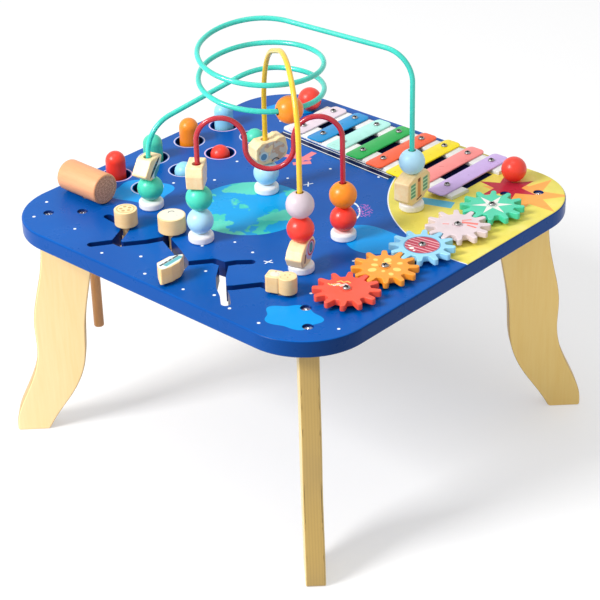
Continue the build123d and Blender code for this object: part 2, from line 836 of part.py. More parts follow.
def make_gears():
    for number, y in enumerate(gear_rows_y):
        make_gear(number, y)
    spots = [(gear_row, y) for y in gear_rows_y]
    bush_top = gear_lift + gear_thickness + running_clearance
    with BuildPart() as gear_bushes:
        with BuildSketch(Plane.XY.offset(top_face)):
            with Locations(*spots):
                Circle(bush_flange_diameter / 2)
        extrude(amount=gear_lift - running_clearance)
        with BuildSketch(Plane.XY.offset(top_face)):
            with Locations(*spots):
                Circle(bush_diameter / 2)
        extrude(amount=bush_top)
        with BuildSketch(Plane.XY.offset(top_face)):
            with Locations(*spots):
                Circle(gear_screw_diameter / 2 + fit_clearance)
        extrude(amount=bush_top, mode=Mode.SUBTRACT)
    save(gear_bushes.part, "gear_bushes")


# ---- xylophone ----------------------------------------------------------------------------------


def make_xylophone():
    spots = bar_screw_spots()
    bar_low = top_face + felt_thickness
    bar_top = bar_low + bar_thickness
    with BuildPart() as xylophone_bars:
        with BuildSketch(Plane.XY.offset(bar_low)):
            for number in range(bar_count):
                length = bar_value(bar_short_length, bar_long_length, number)
                middle = top_side / 2 - bar_value(bar_short_from_edge, bar_long_from_edge, number)
                with Locations((bar_first + bar_pitch * number, middle)):
                    RectangleRounded(bar_width, length, bar_corner)
            with Locations(*spots):
                Circle(bar_screw_hole / 2, mode=Mode.SUBTRACT)
        extrude(amount=bar_thickness)
        rims = xylophone_bars.edges().group_by(Axis.Z)[-1]
        fillet(rims, radius=0.5)
    save(xylophone_bars.part, "xylophone_bars")
    with BuildPart() as xylophone_felts:
        with BuildSketch(Plane.XY.offset(top_face)):
            for first, last in ((spots[0], spots[-2]), (spots[1], spots[-1])):
                middle = ((first[0] + last[0]) / 2, (first[1] + last[1]) / 2)
                with Locations(middle):
                    Rectangle(
                        distance(first, last) + 2 * felt_overhang, felt_width, rotation=heading(first, last)
                    )
            with Locations(*spots):
                Circle(bar_screw_diameter / 2 + running_clearance, mode=Mode.SUBTRACT)
        extrude(amount=felt_thickness)
    save(xylophone_felts.part, "xylophone_felts")


# ---- wood screws --------------------------------------------------------------------------------


def make_wood_screws():
    """Washer-head screws: first the low ones over the bars, then the high ones over the gears."""
    bar_seat = felt_thickness + bar_thickness + bar_screw_lift
    gear_seat = gear_lift + gear_thickness + running_clearance
    gear_spots = [(gear_row, y) for y in gear_rows_y]
    with BuildPart() as wood_screws:
        for spots, seat, shank, washer in (
            (bar_screw_spots(), bar_seat, bar_screw_diameter, bar_screw_washer),
            (gear_spots, gear_seat, gear_screw_diameter, gear_screw_washer),
        ):
            crown_low = top_face + seat + washer_thickness
            with BuildSketch(Plane.XY.offset(top_face - screw_reach)):
                with Locations(*spots):
                    Circle(shank / 2)
            extrude(amount=seat + screw_reach)
            with BuildSketch(Plane.XY.offset(top_face + seat)):
                with Locations(*spots):
                    Circle(washer / 2)
            extrude(amount=washer_thickness)
            with BuildSketch(Plane.XY.offset(crown_low)):
                with Locations(*spots):
                    Circle(washer / 3)
            extrude(amount=crown_height)
            crowns = wood_screws.edges().group_by(Axis.Z)[-1]
            fillet(crowns, radius=crown_height / 2)
            with BuildSketch(Plane.XY.offset(crown_low + crown_height)):
                with Locations(*spots):
                    Rectangle(shank, shank / 4)
                    Rectangle(shank / 4, shank)
            extrude(amount=-crown_height * 0.6, mode=Mode.SUBTRACT)
    save(wood_screws.part, "wood_screws")


# ---- slider maze --------------------------------------------------------------------------------


def round_outline(diameter):
    with BuildSketch() as outline:
        Circle(diameter / 2)
    return outline.sketch


def rocket_outline():
    half_long, half_wide = rocket_length / 2, rocket_width / 2
    with BuildSketch() as outline:
        with Locations(Rotation(0, 0, rocket_turn)):
            Polygon(
                (half_wide * 0.5, -half_long),
                (half_wide, -half_long * 0.35),
                (half_wide, half_long * 0.25),
                (half_wide * 0.1, half_long),
                (-half_wide * 0.9, half_long * 0.35),
                (-half_wide, -half_long * 0.5),
                align=None,
            )
        fillet(outline.vertices(), radius=slider_round * 2)
    return outline.sketch


def cloud_outline():
    shift = on_circle((0, 0), cloud_spread / 2, cloud_turn)
    with BuildSketch() as outline:
        with Locations(shift):
            Circle(cloud_lobe / 2)
        with Locations((-shift[0], -shift[1])):
            RectangleRounded(cloud_small_lobe, cloud_small_lobe, 3.0, rotation=cloud_turn)
        Rectangle(cloud_spread, cloud_small_lobe * 0.75, rotation=cloud_turn)
    return outline.sketch


def make_slider(name, spot, outline):
    """A knob over the channel, its stem through it, and the disc below that keeps it from lifting out."""
    place = from_front(spot)
    low = top_face + slider_lift
    disc_top = under_face - slider_disc_gap
    with BuildPart() as slider:
        with BuildSketch(Plane.XY.offset(low)):
            with Locations(place):
                add(outline)
        extrude(amount=slider_height)
        rims = slider.edges().group_by(Axis.Z)
        fillet(rims[0] + rims[-1], radius=slider_round)
        with BuildSketch(Plane.XY.offset(disc_top)):
            with Locations(place):
                Circle(slider_disc_diameter / 2)
        extrude(amount=-slider_disc_height)
        with BuildSketch(Plane.XY.offset(disc_top)):
            with Locations(place):
                Circle(slider_stem_diameter / 2)
        extrude(amount=slider_disc_gap + top_thickness + slider_lift)
    save(slider.part, name)


# ---- build --------------------------------------------------------------------------------------

make_table_top()
for leg_name, leg_angle in leg_angles.items():
    make_leg(leg_name, leg_angle)
make_bolts()
make_teal_posts()
make_wire("teal_wire", teal_route())
make_wire("red_wire", red_route())
make_wire("yellow_wire", yellow_route())
make_collars()
make_post_beads()
make_coil_bead()
make_hammer()
make_beater("left_beater", -1)
make_beater("right_beater", 1)
make_pegs()
for rocker_number, rocker_y in enumerate(peg_rows_y, start=1):
    make_rocker(f"rocker_{rocker_number}", rocker_y)
make_peg_box()
make_gears()
make_xylophone()
make_wood_screws()
make_slider("drum_slider", drum_place, round_outline(drum_diameter))
make_slider("disc_slider", disc_place, round_outline(disc_diameter))
make_slider("rocket_slider", rocket_place, rocket_outline())
make_slider("cloud_slider", cloud_place, cloud_outline())
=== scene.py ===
import bmesh
import bpy
import math
import random
from mathutils import Matrix, Vector


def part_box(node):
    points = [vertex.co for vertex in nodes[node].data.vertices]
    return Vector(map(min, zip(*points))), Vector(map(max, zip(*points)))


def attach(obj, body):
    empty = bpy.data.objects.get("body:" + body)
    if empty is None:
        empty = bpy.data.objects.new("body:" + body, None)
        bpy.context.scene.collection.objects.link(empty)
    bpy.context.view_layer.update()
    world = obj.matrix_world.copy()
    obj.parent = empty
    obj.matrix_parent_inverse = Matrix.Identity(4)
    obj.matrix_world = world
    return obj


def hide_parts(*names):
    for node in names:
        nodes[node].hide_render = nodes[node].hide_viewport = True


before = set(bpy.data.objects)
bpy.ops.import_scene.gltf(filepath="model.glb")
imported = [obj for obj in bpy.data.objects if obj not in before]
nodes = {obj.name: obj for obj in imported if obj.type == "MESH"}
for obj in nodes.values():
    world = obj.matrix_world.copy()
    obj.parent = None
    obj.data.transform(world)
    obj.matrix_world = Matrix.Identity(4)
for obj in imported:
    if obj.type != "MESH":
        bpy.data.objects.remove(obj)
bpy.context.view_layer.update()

random.seed(7)
print("frame loaded:", len(nodes), "nodes")

# every length below is in millimetres, and every angle in degrees, unless a note says otherwise
mm = 0.001
topFace = 236.0


# camera, lamps and floor

view = {
    "lens": 113.945, "azimuth": 42.8, "elevation": 29.695, "roll": -1.4,
    "distance": 1791.6, "across": 2.8, "upwards": -92.24, "nearest": 0.05,  # nearest is in metres
}


def placeCamera():
    azimuth, elevation, roll = (math.radians(view[key]) for key in ("azimuth", "elevation", "roll"))
    level = math.cos(elevation)
    back = Vector((math.sin(azimuth) * level, -math.cos(azimuth) * level, math.sin(elevation)))
    right = Vector((math.cos(azimuth), math.sin(azimuth), 0))
    up = back.cross(right)
    spot = Vector((0, 0, topFace)) + back * view["distance"] + right * view["across"] + up * view["upwards"]
    rightRolled = right * math.cos(roll) + up * math.sin(roll)
    upRolled = up * math.cos(roll) - right * math.sin(roll)
    data = bpy.data.cameras.new("tableCamera")
    data.lens = view["lens"]
    data.clip_start = view["nearest"]
    camera = bpy.data.objects.new("tableCamera", data)
    turn = Matrix((rightRolled, upRolled, back)).transposed().to_4x4()
    camera.matrix_world = Matrix.Translation(spot * mm) @ turn
    bpy.context.scene.collection.objects.link(camera)
    bpy.context.scene.camera = camera


lamps = {
    # name: place in metres, what it looks at, side length in metres, watts
    "keyLamp": ((-0.78, -2.22, 2.0), (0.0, 0.0, 0.2), 0.85, 84.0),
    "overheadLamp": ((-0.2, -0.1, 2.5), (0.0, 0.0, 0.2), 1.3, 9.0),
}


def placeLamps():
    for name, (place, aim, side, watts) in lamps.items():
        data = bpy.data.lights.new(name, "AREA")
        data.size = side
        data.energy = watts
        lamp = bpy.data.objects.new(name, data)
        lamp.location = place
        lamp.rotation_euler = (Vector(aim) - Vector(place)).to_track_quat("-Z", "Y").to_euler()
        bpy.context.scene.collection.objects.link(lamp)


studio = {
    "worldGlow": 0.56, "backdropWhite": 1.0,
    "floorSize": 14.0, "floorLevel": -0.0002,  # metres; the floor lies a hair below the feet
    "floorColour": (0.93, 0.93, 0.935, 1), "floorRoughness": 0.7,
    "floorWhite": 0.4, "floorGlow": 1.12,  # how far the floor is lifted to white where it is looked at
}


def seenBy(tree, *rays):
    # 1 for the rays of these kinds, 0 for the rest
    path = tree.nodes.new("ShaderNodeLightPath")
    seen = path.outputs[rays[0]]
    for ray in rays[1:]:
        seen = calc(tree, "MAXIMUM", seen, path.outputs[ray])
    return seen


def whiteGlow(tree, kind, strength):
    glow = tree.nodes.new(kind)
    glow.inputs["Color"].default_value = (1, 1, 1, 1)
    glow.inputs["Strength"].default_value = strength
    return glow.outputs[0]


def mixShaders(tree, share, first, second):
    mix = tree.nodes.new("ShaderNodeMixShader")
    for socket, source in enumerate((share, first, second)):
        tree.links.new(source, mix.inputs[socket])
    return mix.outputs[0]


def makeWorld():
    bpy.context.scene.view_settings.view_transform = "Standard"
    world = bpy.data.worlds.new("studioWorld")
    bpy.context.scene.world = world
    world.use_nodes = True
    tree = world.node_tree
    tree.nodes.clear()
    soft = whiteGlow(tree, "ShaderNodeBackground", studio["worldGlow"])
    white = whiteGlow(tree, "ShaderNodeBackground", studio["backdropWhite"])
    seen = seenBy(tree, "Is Camera Ray", "Is Glossy Ray", "Is Transmission Ray")
    out = tree.nodes.new("ShaderNodeOutputWorld")
    tree.links.new(mixShaders(tree, seen, soft, white), out.inputs["Surface"])


def makeFloor():
    half = studio["floorSize"] / 2
    corners = ((-half, -half), (half, -half), (half, half), (-half, half))
    bm = bmesh.new()
    bm.faces.new([bm.verts.new((x, y, studio["floorLevel"])) for x, y in corners])
    mesh = bpy.data.meshes.new("studioFloor")
    bm.to_mesh(mesh)
    bm.free()
    floor = bpy.data.objects.new("studioFloor", mesh)
    bpy.context.scene.collection.objects.link(floor)
    material, tree, shader = newMaterial("studioFloor")
    setInputs(shader, {"Base Color": studio["floorColour"], "Roughness": studio["floorRoughness"]})
    share = calc(tree, "MULTIPLY", seenBy(tree, "Is Camera Ray", "Is Glossy Ray"), studio["floorWhite"])
    glow = whiteGlow(tree, "ShaderNodeEmission", studio["floorGlow"])
    surface = mixShaders(tree, share, shader.outputs[0], glow)
    tree.links.new(surface, tree.nodes["Material Output"].inputs["Surface"])
    mesh.materials.append(material)


# shader building blocks

def rgb(red, green, blue):
    # a screen colour as the linear value a shader wants
    def linear(value):
        value /= 255
        return value / 12.92 if value <= 0.04045 else ((value + 0.055) / 1.055) ** 2.4
    return (linear(red), linear(green), linear(blue), 1)


def shade(colour, share):
    return [min(1.0, value * share) for value in colour[:3]] + [1]


def tinted(colour, tint):
    return [value * share for value, share in zip(colour, tint)] + [1]


def addNode(tree, kind, **settings):
    node = tree.nodes.new(kind)
    for key, value in settings.items():
        setattr(node, key, value)
    return node


def feed(tree, source, target):
    if isinstance(source, bpy.types.NodeSocket):
        tree.links.new(source, target)
    else:
        target.default_value = source


def calc(tree, operation, *values, clamp=False):
    node = addNode(tree, "ShaderNodeMath", operation=operation, use_clamp=clamp)
    for value, socket in zip(values, node.inputs):
        feed(tree, value, socket)
    return node.outputs[0]


def mixColour(tree, factor, first, second):
    node = addNode(tree, "ShaderNodeMix", data_type="RGBA")
    feed(tree, factor, node.inputs[0])
    feed(tree, first, node.inputs[6])
    feed(tree, second, node.inputs[7])
    return node.outputs[2]


def moved(tree, vector, place=(0, 0, 0), turn=(0, 0, 0), scale=(1, 1, 1)):
    # coordinates seen from a place, turned and scaled
    mapping = addNode(tree, "ShaderNodeMapping", vector_type="TEXTURE")
    mapping.inputs["Location"].default_value = place
    mapping.inputs["Rotation"].default_value = [math.radians(value) for value in turn]
    mapping.inputs["Scale"].default_value = scale
    tree.links.new(vector, mapping.inputs["Vector"])
    return mapping.outputs[0]


def ownSpace(tree, place=(0, 0, 0), turn=(0, 0, 0), scale=(1, 1, 1)):
    # the piece's own coordinates in millimetres
    source = addNode(tree, "ShaderNodeTexCoord")
    inMillimetres = moved(tree, source.outputs["Object"], scale=(mm, mm, mm))
    return moved(tree, inMillimetres, place, turn, scale)


def noiseAt(tree, vector, scale, detail=3.0, roughness=0.5):
    node = addNode(tree, "ShaderNodeTexNoise")
    node.inputs["Scale"].default_value = scale
    node.inputs["Detail"].default_value = detail
    node.inputs["Roughness"].default_value = roughness
    tree.links.new(vector, node.inputs["Vector"])
    return node.outputs["Fac"]


def spread(tree, value, low, high, newLow, newHigh):
    node = addNode(tree, "ShaderNodeMapRange")
    for socket, number in zip(("From Min", "From Max", "To Min", "To Max"), (low, high, newLow, newHigh)):
        node.inputs[socket].default_value = number
    tree.links.new(value, node.inputs["Value"])
    return node.outputs["Result"]


def addBump(tree, shader, height, strength, depth):
    # depth in mm
    node = addNode(tree, "ShaderNodeBump")
    node.inputs["Strength"].default_value = strength
    node.inputs["Distance"].default_value = depth * mm
    tree.links.new(height, node.inputs["Height"])
    tree.links.new(node.outputs["Normal"], shader.inputs["Normal"])


def newMaterial(name):
    material = bpy.data.materials.new(name)
    material.use_nodes = True
    tree = material.node_tree
    return material, tree, tree.nodes["Principled BSDF"]


def setInputs(node, values):
    for socket, value in values.items():
        node.inputs[socket].default_value = value


def noiseRange(tree, noise, newLow, newHigh):
    # nearly all of a noise lies between 0.3 and 0.7
    return spread(tree, noise, 0.3, 0.7, newLow, newHigh)


def mottled(tree, noise, first, second):
    return mixColour(tree, noiseRange(tree, noise, 0, 1), first, second)


def setSheen(tree, shader, noise, roughness, drift):
    # the roughness drifts to both sides of its middle
    uneven = noiseRange(tree, noise, roughness - drift, roughness + drift)
    tree.links.new(uneven, shader.inputs["Roughness"])


def blend(tree, *parts):
    # noises added up by their shares
    weighed = [calc(tree, "MULTIPLY", noise, share) for noise, share in parts]
    total = weighed[0]
    for part in weighed[1:]:
        total = calc(tree, "ADD", total, part, clamp=True)
    return total


# printed shapes: each returns 1 inside the shape and 0 outside, in the x and y of a space in millimetres

def axesOf(tree, vector):
    node = addNode(tree, "ShaderNodeSeparateXYZ")
    tree.links.new(vector, node.inputs[0])
    return node.outputs["X"], node.outputs["Y"], node.outputs["Z"]


def below(tree, value, edge, soft=0.25):
    return calc(tree, "MULTIPLY_ADD", value, -1 / soft, edge / soft + 0.5, clamp=True)


def above(tree, value, edge, soft=0.25):
    return calc(tree, "MULTIPLY_ADD", value, 1 / soft, 0.5 - edge / soft, clamp=True)


def length2d(tree, x, y):
    return calc(tree, "SQRT", calc(tree, "ADD", calc(tree, "MULTIPLY", x, x), calc(tree, "MULTIPLY", y, y)))


def both(tree, *masks):
    total = masks[0]
    for mask in masks[1:]:
        total = calc(tree, "MULTIPLY", total, mask)
    return total


def union(tree, *masks):
    total = masks[0]
    for mask in masks[1:]:
        total = calc(tree, "MAXIMUM", total, mask)
    return total


def around(tree, space, centre, turn=0.0, scale=(1, 1)):
    return axesOf(tree, moved(tree, space, (centre[0], centre[1], 0), (0, 0, turn), (scale[0], scale[1], 1)))


def disc(tree, space, centre, radius, turn=0.0, scale=(1, 1)):
    x, y, z = around(tree, space, centre, turn, scale)
    return below(tree, length2d(tree, x, y), radius)


def ring(tree, space, centre, radius, width, scale=(1, 1)):
    x, y, z = around(tree, space, centre, 0, scale)
    away = calc(tree, "ABSOLUTE", calc(tree, "SUBTRACT", length2d(tree, x, y), radius))
    return below(tree, away, width / 2)


def scalloped(tree, space, centre, radius, depth, count, turn=0.0, scale=(1, 1)):
    # a disc whose rim runs in shallow waves
    x, y, z = around(tree, space, centre, turn, scale)
    wave = calc(tree, "SINE", calc(tree, "MULTIPLY", calc(tree, "ARCTAN2", y, x), float(count)))
    rim = calc(tree, "SUBTRACT", length2d(tree, x, y), calc(tree, "MULTIPLY", wave, depth))
    return below(tree, rim, radius)


def starBurst(tree, space, centre, tip, notch, count, turn=0.0, scale=(1, 1)):
    # a star with straight-edged rays
    x, y, z = around(tree, space, centre, turn, scale)
    sector = 2 * math.pi / count
    part = calc(tree, "MULTIPLY", calc(tree, "ARCTAN2", y, x), 1 / sector)
    fromRay = calc(tree, "ABSOLUTE", calc(tree, "SUBTRACT", calc(tree, "FRACT", part), 0.5))
    fold = calc(tree, "MULTIPLY", fromRay, sector)
    away = length2d(tree, x, y)
    along = calc(tree, "MULTIPLY", away, calc(tree, "COSINE", fold))
    aside = calc(tree, "MULTIPLY", away, calc(tree, "SINE", fold))
    rise, run = notch * math.sin(sector / 2), tip - notch * math.cos(sector / 2)
    side = math.hypot(rise, run)
    reach = calc(tree, "MULTIPLY", calc(tree, "SUBTRACT", along, tip), rise / side)
    return below(tree, calc(tree, "MULTIPLY_ADD", aside, run / side, reach), 0.0)


def strip(tree, space, centre, length, width, turn=0.0):
    # a straight bar, cut square
    x, y, z = around(tree, space, centre, turn)
    far = calc(tree, "SUBTRACT", calc(tree, "ABSOLUTE", x), (length - width) / 2)
    return below(tree, calc(tree, "MAXIMUM", far, calc(tree, "ABSOLUTE", y)), width / 2)


def arc(tree, space, centre, radius, width, turn, halfAngle):
    # part of a ring, to both sides of the turn
    x, y, z = around(tree, space, centre, turn)
    away = calc(tree, "SUBTRACT", length2d(tree, x, y), radius)
    line = below(tree, calc(tree, "ABSOLUTE", away), width / 2)
    angle = calc(tree, "ABSOLUTE", calc(tree, "ARCTAN2", y, x))
    return both(tree, line, below(tree, angle, math.radians(halfAngle), soft=0.03))


def blotches(tree, space, scale, level, seedPlace, detail=2.0):
    # loose islands
    return above(tree, noiseAt(tree, moved(tree, space, seedPlace), scale, detail), level, soft=0.012)


def onCircle(radius, degrees):
    return (radius * math.cos(math.radians(degrees)), radius * math.sin(math.radians(degrees)))


def draw(tree, space, base, inks, shapes):
    # shapes in turn over the base: each says its form, its ink and its measures
    for form, ink, *measures in shapes:
        base = mixColour(tree, form(tree, space, *measures), base, inks[ink])
    return base


def artworkOn(place, turn, level, inks, shapes, sideTone=None):
    # a print on one face, level mm out from place along the turned Z
    def printed(tree, space, base):
        face = moved(tree, space, place, turn)
        x, y, z = axesOf(tree, face)
        side = mixColour(tree, 0.5, base, sideTone) if sideTone else base
        return mixColour(tree, above(tree, z, level, soft=0.1), side, draw(tree, face, base, inks, shapes))
    return printed


# finishes; the scales of their noises are per millimetre, and the depths of their bumps in millimetres

bores = {"radius": 3.6, "bareWood": rgb(176, 128, 78)}


def paint(name, colour, roughness=0.36, coat=0.12, peel=0.2, shine=0.4, bore=None, artwork=None):
    # sprayed paint on turned wood: faint mottling, an uneven sheen and the orange peel of the spray
    material, tree, shader = newMaterial(name)
    space = ownSpace(tree)
    cloud = noiseAt(tree, space, scale=0.07, detail=4.0)
    base = mottled(tree, cloud, shade(colour, 0.93), shade(colour, 1.05))
    if bore:
        base = mixColour(tree, disc(tree, space, bore, bores["radius"]), base, bores["bareWood"])
    if artwork:
        base = artwork(tree, space, base)
    tree.links.new(base, shader.inputs["Base Color"])
    setSheen(tree, shader, noiseAt(tree, space, scale=0.14), roughness, drift=0.05)
    setInputs(shader, {"Specular IOR Level": shine, "Coat Weight": coat, "Coat Roughness": 0.2})
    addBump(tree, shader, noiseAt(tree, space, scale=0.2, detail=2.0), strength=peel, depth=0.1)
    return material


def enamel(name, colour):
    # thick gloss coating on a steel rod, a little wavy along it
    material, tree, shader = newMaterial(name)
    space = ownSpace(tree)
    cloud = spread(tree, noiseAt(tree, space, scale=0.05), 0.35, 0.65, 0, 1)
    base = mixColour(tree, cloud, shade(colour, 0.92), shade(colour, 1.05))
    tree.links.new(base, shader.inputs["Base Color"])
    setSheen(tree, shader, noiseAt(tree, space, scale=0.22, detail=2.0), 0.25, drift=0.05)
    setInputs(shader, {"Coat Weight": 0.4, "Coat Roughness": 0.1})
    addBump(tree, shader, noiseAt(tree, space, scale=0.4, detail=2.0), strength=0.25, depth=0.07)
    return material


def wood(name, light, dark, turn=(0, 0, 0), place=(0, 0, 0), stretch=9.0, roughness=0.45, artwork=None):
    # close-grained light wood: long soft streaks, short dark pores, a thin satin lacquer
    material, tree, shader = newMaterial(name)
    along = ownSpace(tree, place, turn, (stretch, 1, 1))
    streaks = noiseAt(tree, along, scale=0.22, detail=5.0, roughness=0.62)
    broad = noiseAt(tree, along, scale=0.045)
    mixed = blend(tree, (streaks, 0.6), (broad, 0.4))
    base = mixColour(tree, spread(tree, mixed, 0.36, 0.64, 1, 0), light, dark)
    pores = noiseAt(tree, ownSpace(tree, place, turn, (stretch * 0.8, 1, 1)), scale=1.1, detail=2.0)
    base = mixColour(tree, spread(tree, pores, 0.62, 0.72, 0, 0.28), base, shade(dark, 0.62))
    if artwork:
        base = artwork(tree, ownSpace(tree), base)
    tree.links.new(base, shader.inputs["Base Color"])
    setSheen(tree, shader, streaks, roughness, drift=0.06)
    setInputs(shader, {"Coat Weight": 0.1, "Coat Roughness": 0.25})
    addBump(tree, shader, pores, strength=0.3, depth=0.08)
    return material


def endGrain(name, light, dark, place, turn):
    # the sawn end: growth rings across a crowd of open pores
    material, tree, shader = newMaterial(name)
    space = ownSpace(tree, place, turn)
    rings = addNode(tree, "ShaderNodeTexWave", wave_type="RINGS", rings_direction="Z")
    setInputs(rings, {"Scale": 0.09, "Distortion": 3.0, "Detail": 3.0, "Detail Scale": 0.3})
    tree.links.new(space, rings.inputs["Vector"])
    cells = addNode(tree, "ShaderNodeTexVoronoi")
    setInputs(cells, {"Scale": 0.75})
    tree.links.new(space, cells.inputs["Vector"])
    speckle = spread(tree, cells.outputs["Distance"], 0.15, 0.6, 0, 1)
    fine = noiseAt(tree, space, scale=1.8)
    tone = blend(tree, (speckle, 0.55), (rings.outputs["Fac"], 0.2), (fine, 0.3))
    tree.links.new(mixColour(tree, tone, light, dark), shader.inputs["Base Color"])
    setInputs(shader, {"Roughness": 0.75})
    addBump(tree, shader, cells.outputs["Distance"], strength=0.6, depth=0.25)
    return material


def plyBoard(name, light, dark, sawn, turnAngle, thickness, veneer):
    # lacquered plywood: upright grain on the faces, thin veneer lines on the sawn edge
    material, tree, shader = newMaterial(name)
    upright = ownSpace(tree, turn=(0, 0, turnAngle), scale=(1, 1, 16))
    streaks = noiseAt(tree, upright, scale=0.35, detail=5.0, roughness=0.6)
    broad = noiseAt(tree, upright, scale=0.03, detail=2.0)
    mixed = blend(tree, (streaks, 0.45), (broad, 0.55))
    face = mixColour(tree, spread(tree, mixed, 0.36, 0.66, 1, 0), light, dark)
    x, y, z = axesOf(tree, ownSpace(tree, turn=(0, 0, turnAngle)))
    layer = calc(tree, "SINE", calc(tree, "MULTIPLY", y, 2 * math.pi / veneer))
    edge = mixColour(tree, spread(tree, layer, -0.2, 0.9, 0, 0.5), sawn, shade(sawn, 0.86))
    onEdge = below(tree, calc(tree, "ABSOLUTE", y), thickness / 2 - 0.6, soft=0.5)
    tree.links.new(mixColour(tree, onEdge, face, edge), shader.inputs["Base Color"])
    setSheen(tree, shader, streaks, 0.42, drift=0.06)
    setInputs(shader, {"Coat Weight": 0.15, "Coat Roughness": 0.25})
    addBump(tree, shader, streaks, strength=0.12, depth=0.15)
    return material


def metal(name, colour, roughness=0.28):
    # brushed and faintly clouded
    material, tree, shader = newMaterial(name)
    cloud = noiseAt(tree, ownSpace(tree), scale=0.26, detail=4.0)
    tree.links.new(mottled(tree, cloud, shade(colour, 0.8), colour), shader.inputs["Base Color"])
    setSheen(tree, shader, cloud, roughness, drift=0.08)
    setInputs(shader, {"Metallic": 1.0})
    addBump(tree, shader, cloud, strength=0.1, depth=0.05)
    return material


def plastic(name, colour, roughness):
    material, tree, shader = newMaterial(name)
    space = ownSpace(tree)
    cloud = noiseAt(tree, space, scale=0.09)
    tree.links.new(mixColour(tree, cloud, shade(colour, 0.95), colour), shader.inputs["Base Color"])
    setSheen(tree, shader, cloud, roughness, drift=0.05)
    setInputs(shader, {"Coat Weight": 0.2, "Coat Roughness": 0.15})
    addBump(tree, shader, noiseAt(tree, space, scale=0.6, detail=2.0), strength=0.1, depth=0.05)
    return material


def feltCloth(name, colour):
    # pressed wool felt: a tangle of short fibres
    material, tree, shader = newMaterial(name)
    space = ownSpace(tree)
    fibres = noiseAt(tree, space, scale=1.6, detail=6.0, roughness=0.7)
    tone = blend(tree, (fibres, 0.6), (noiseAt(tree, space, scale=0.12), 0.4))
    cloth = mixColour(tree, spread(tree, tone, 0.35, 0.6, 1, 0), colour, shade(colour, 0.82))
    tree.links.new(cloth, shader.inputs["Base Color"])
    setInputs(shader, {"Roughness": 0.95, "Sheen Weight": 0.25})
    addBump(tree, shader, fibres, strength=0.7, depth=0.35)
    return material


# meshes, built in millimetres

def roundedOutline(points, radii, steps=6):
    # a closed chain of corners, each rounded with its own radius
    outline = []
    count = len(points)
    for index in range(count):
        corner = Vector(points[index])
        toBefore = (Vector(points[index - 1]) - corner).normalized()
        toAfter = (Vector(points[(index + 1) % count]) - corner).normalized()
        opening = toBefore.angle(toAfter)
        reach = radii[index] / math.tan(opening / 2)
        middle = corner + (toBefore + toAfter).normalized() * radii[index] / math.sin(opening / 2)
        start = corner + toBefore * reach - middle
        end = corner + toAfter * reach - middle
        swing = start.angle(end)
        for step in range(steps + 1):
            share = step / steps
            first = math.sin((1 - share) * swing) / math.sin(swing)
            second = math.sin(share * swing) / math.sin(swing)
            outline.append(middle + start * first + end * second)
    return outline


def roundedRectangle(width, length, radius):
    x, y = width / 2, length / 2
    return roundedOutline([(-x, -y), (x, -y), (x, y), (-x, y)], [radius] * 4)


def bridge(bm, rings, cap=False):
    for first, second in zip(rings, rings[1:]):
        for index in range(len(first)):
            following = (index + 1) % len(first)
            bm.faces.new((first[index], first[following], second[following], second[index]))
    if cap:
        bm.faces.new(list(reversed(rings[0])))
        bm.faces.new(rings[-1])


def makePiece(name, bm, body, materials, replaced=(), sharp=35.0):
    bm.transform(Matrix.Scale(mm, 4))
    bmesh.ops.recalc_face_normals(bm, faces=bm.faces)
    mesh = bpy.data.meshes.new(name)
    bm.to_mesh(mesh)
    bm.free()
    for polygon in mesh.polygons:
        polygon.use_smooth = True
    mesh.set_sharp_from_angle(angle=math.radians(sharp))
    for material in materials:
        mesh.materials.append(material)
    piece = bpy.data.objects.new(name, mesh)
    bpy.context.scene.collection.objects.link(piece)
    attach(piece, body)
    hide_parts(*replaced)
    return piece


easing = {"weld": 0.00001, "flat": 0.9999, "inPlane": 0.5, "sharp": 30.0, "segments": 3}


def easedCopy(name, node, body, material, width, flatWay):
    # a board's own shape with its arrises rubbed down; its flat sides lie across flatWay
    bm = bmesh.new()
    bm.from_mesh(nodes[node].data)
    bmesh.ops.remove_doubles(bm, verts=bm.verts, dist=easing["weld"])
    bm.normal_update()
    flat = {face for face in bm.faces if abs(face.normal.dot(flatWay)) > easing["flat"]}
    inner = [edge for edge in bm.edges if all(face in flat for face in edge.link_faces)]
    bmesh.ops.dissolve_limit(bm, angle_limit=math.radians(easing["inPlane"]), edges=inner)
    bm.transform(Matrix.Scale(1 / mm, 4))
    piece = makePiece(name, bm, body, [material], [node], sharp=179.0)
    bevel = piece.modifiers.new("easedArris", "BEVEL")
    bevel.width = width * mm
    bevel.segments = easing["segments"]
    bevel.limit_method = "ANGLE"
    bevel.angle_limit = math.radians(easing["sharp"])
    bevel.use_clamp_overlap = False
    piece.modifiers.new("calmFaces", "WEIGHTED_NORMAL")


def dress(name, material):
    piece = nodes[name]
    piece.data.materials.clear()
    piece.data.materials.append(material)


makeWorld()
makeFloor()
placeCamera()
placeLamps()
print("studio ready")


# the printed top

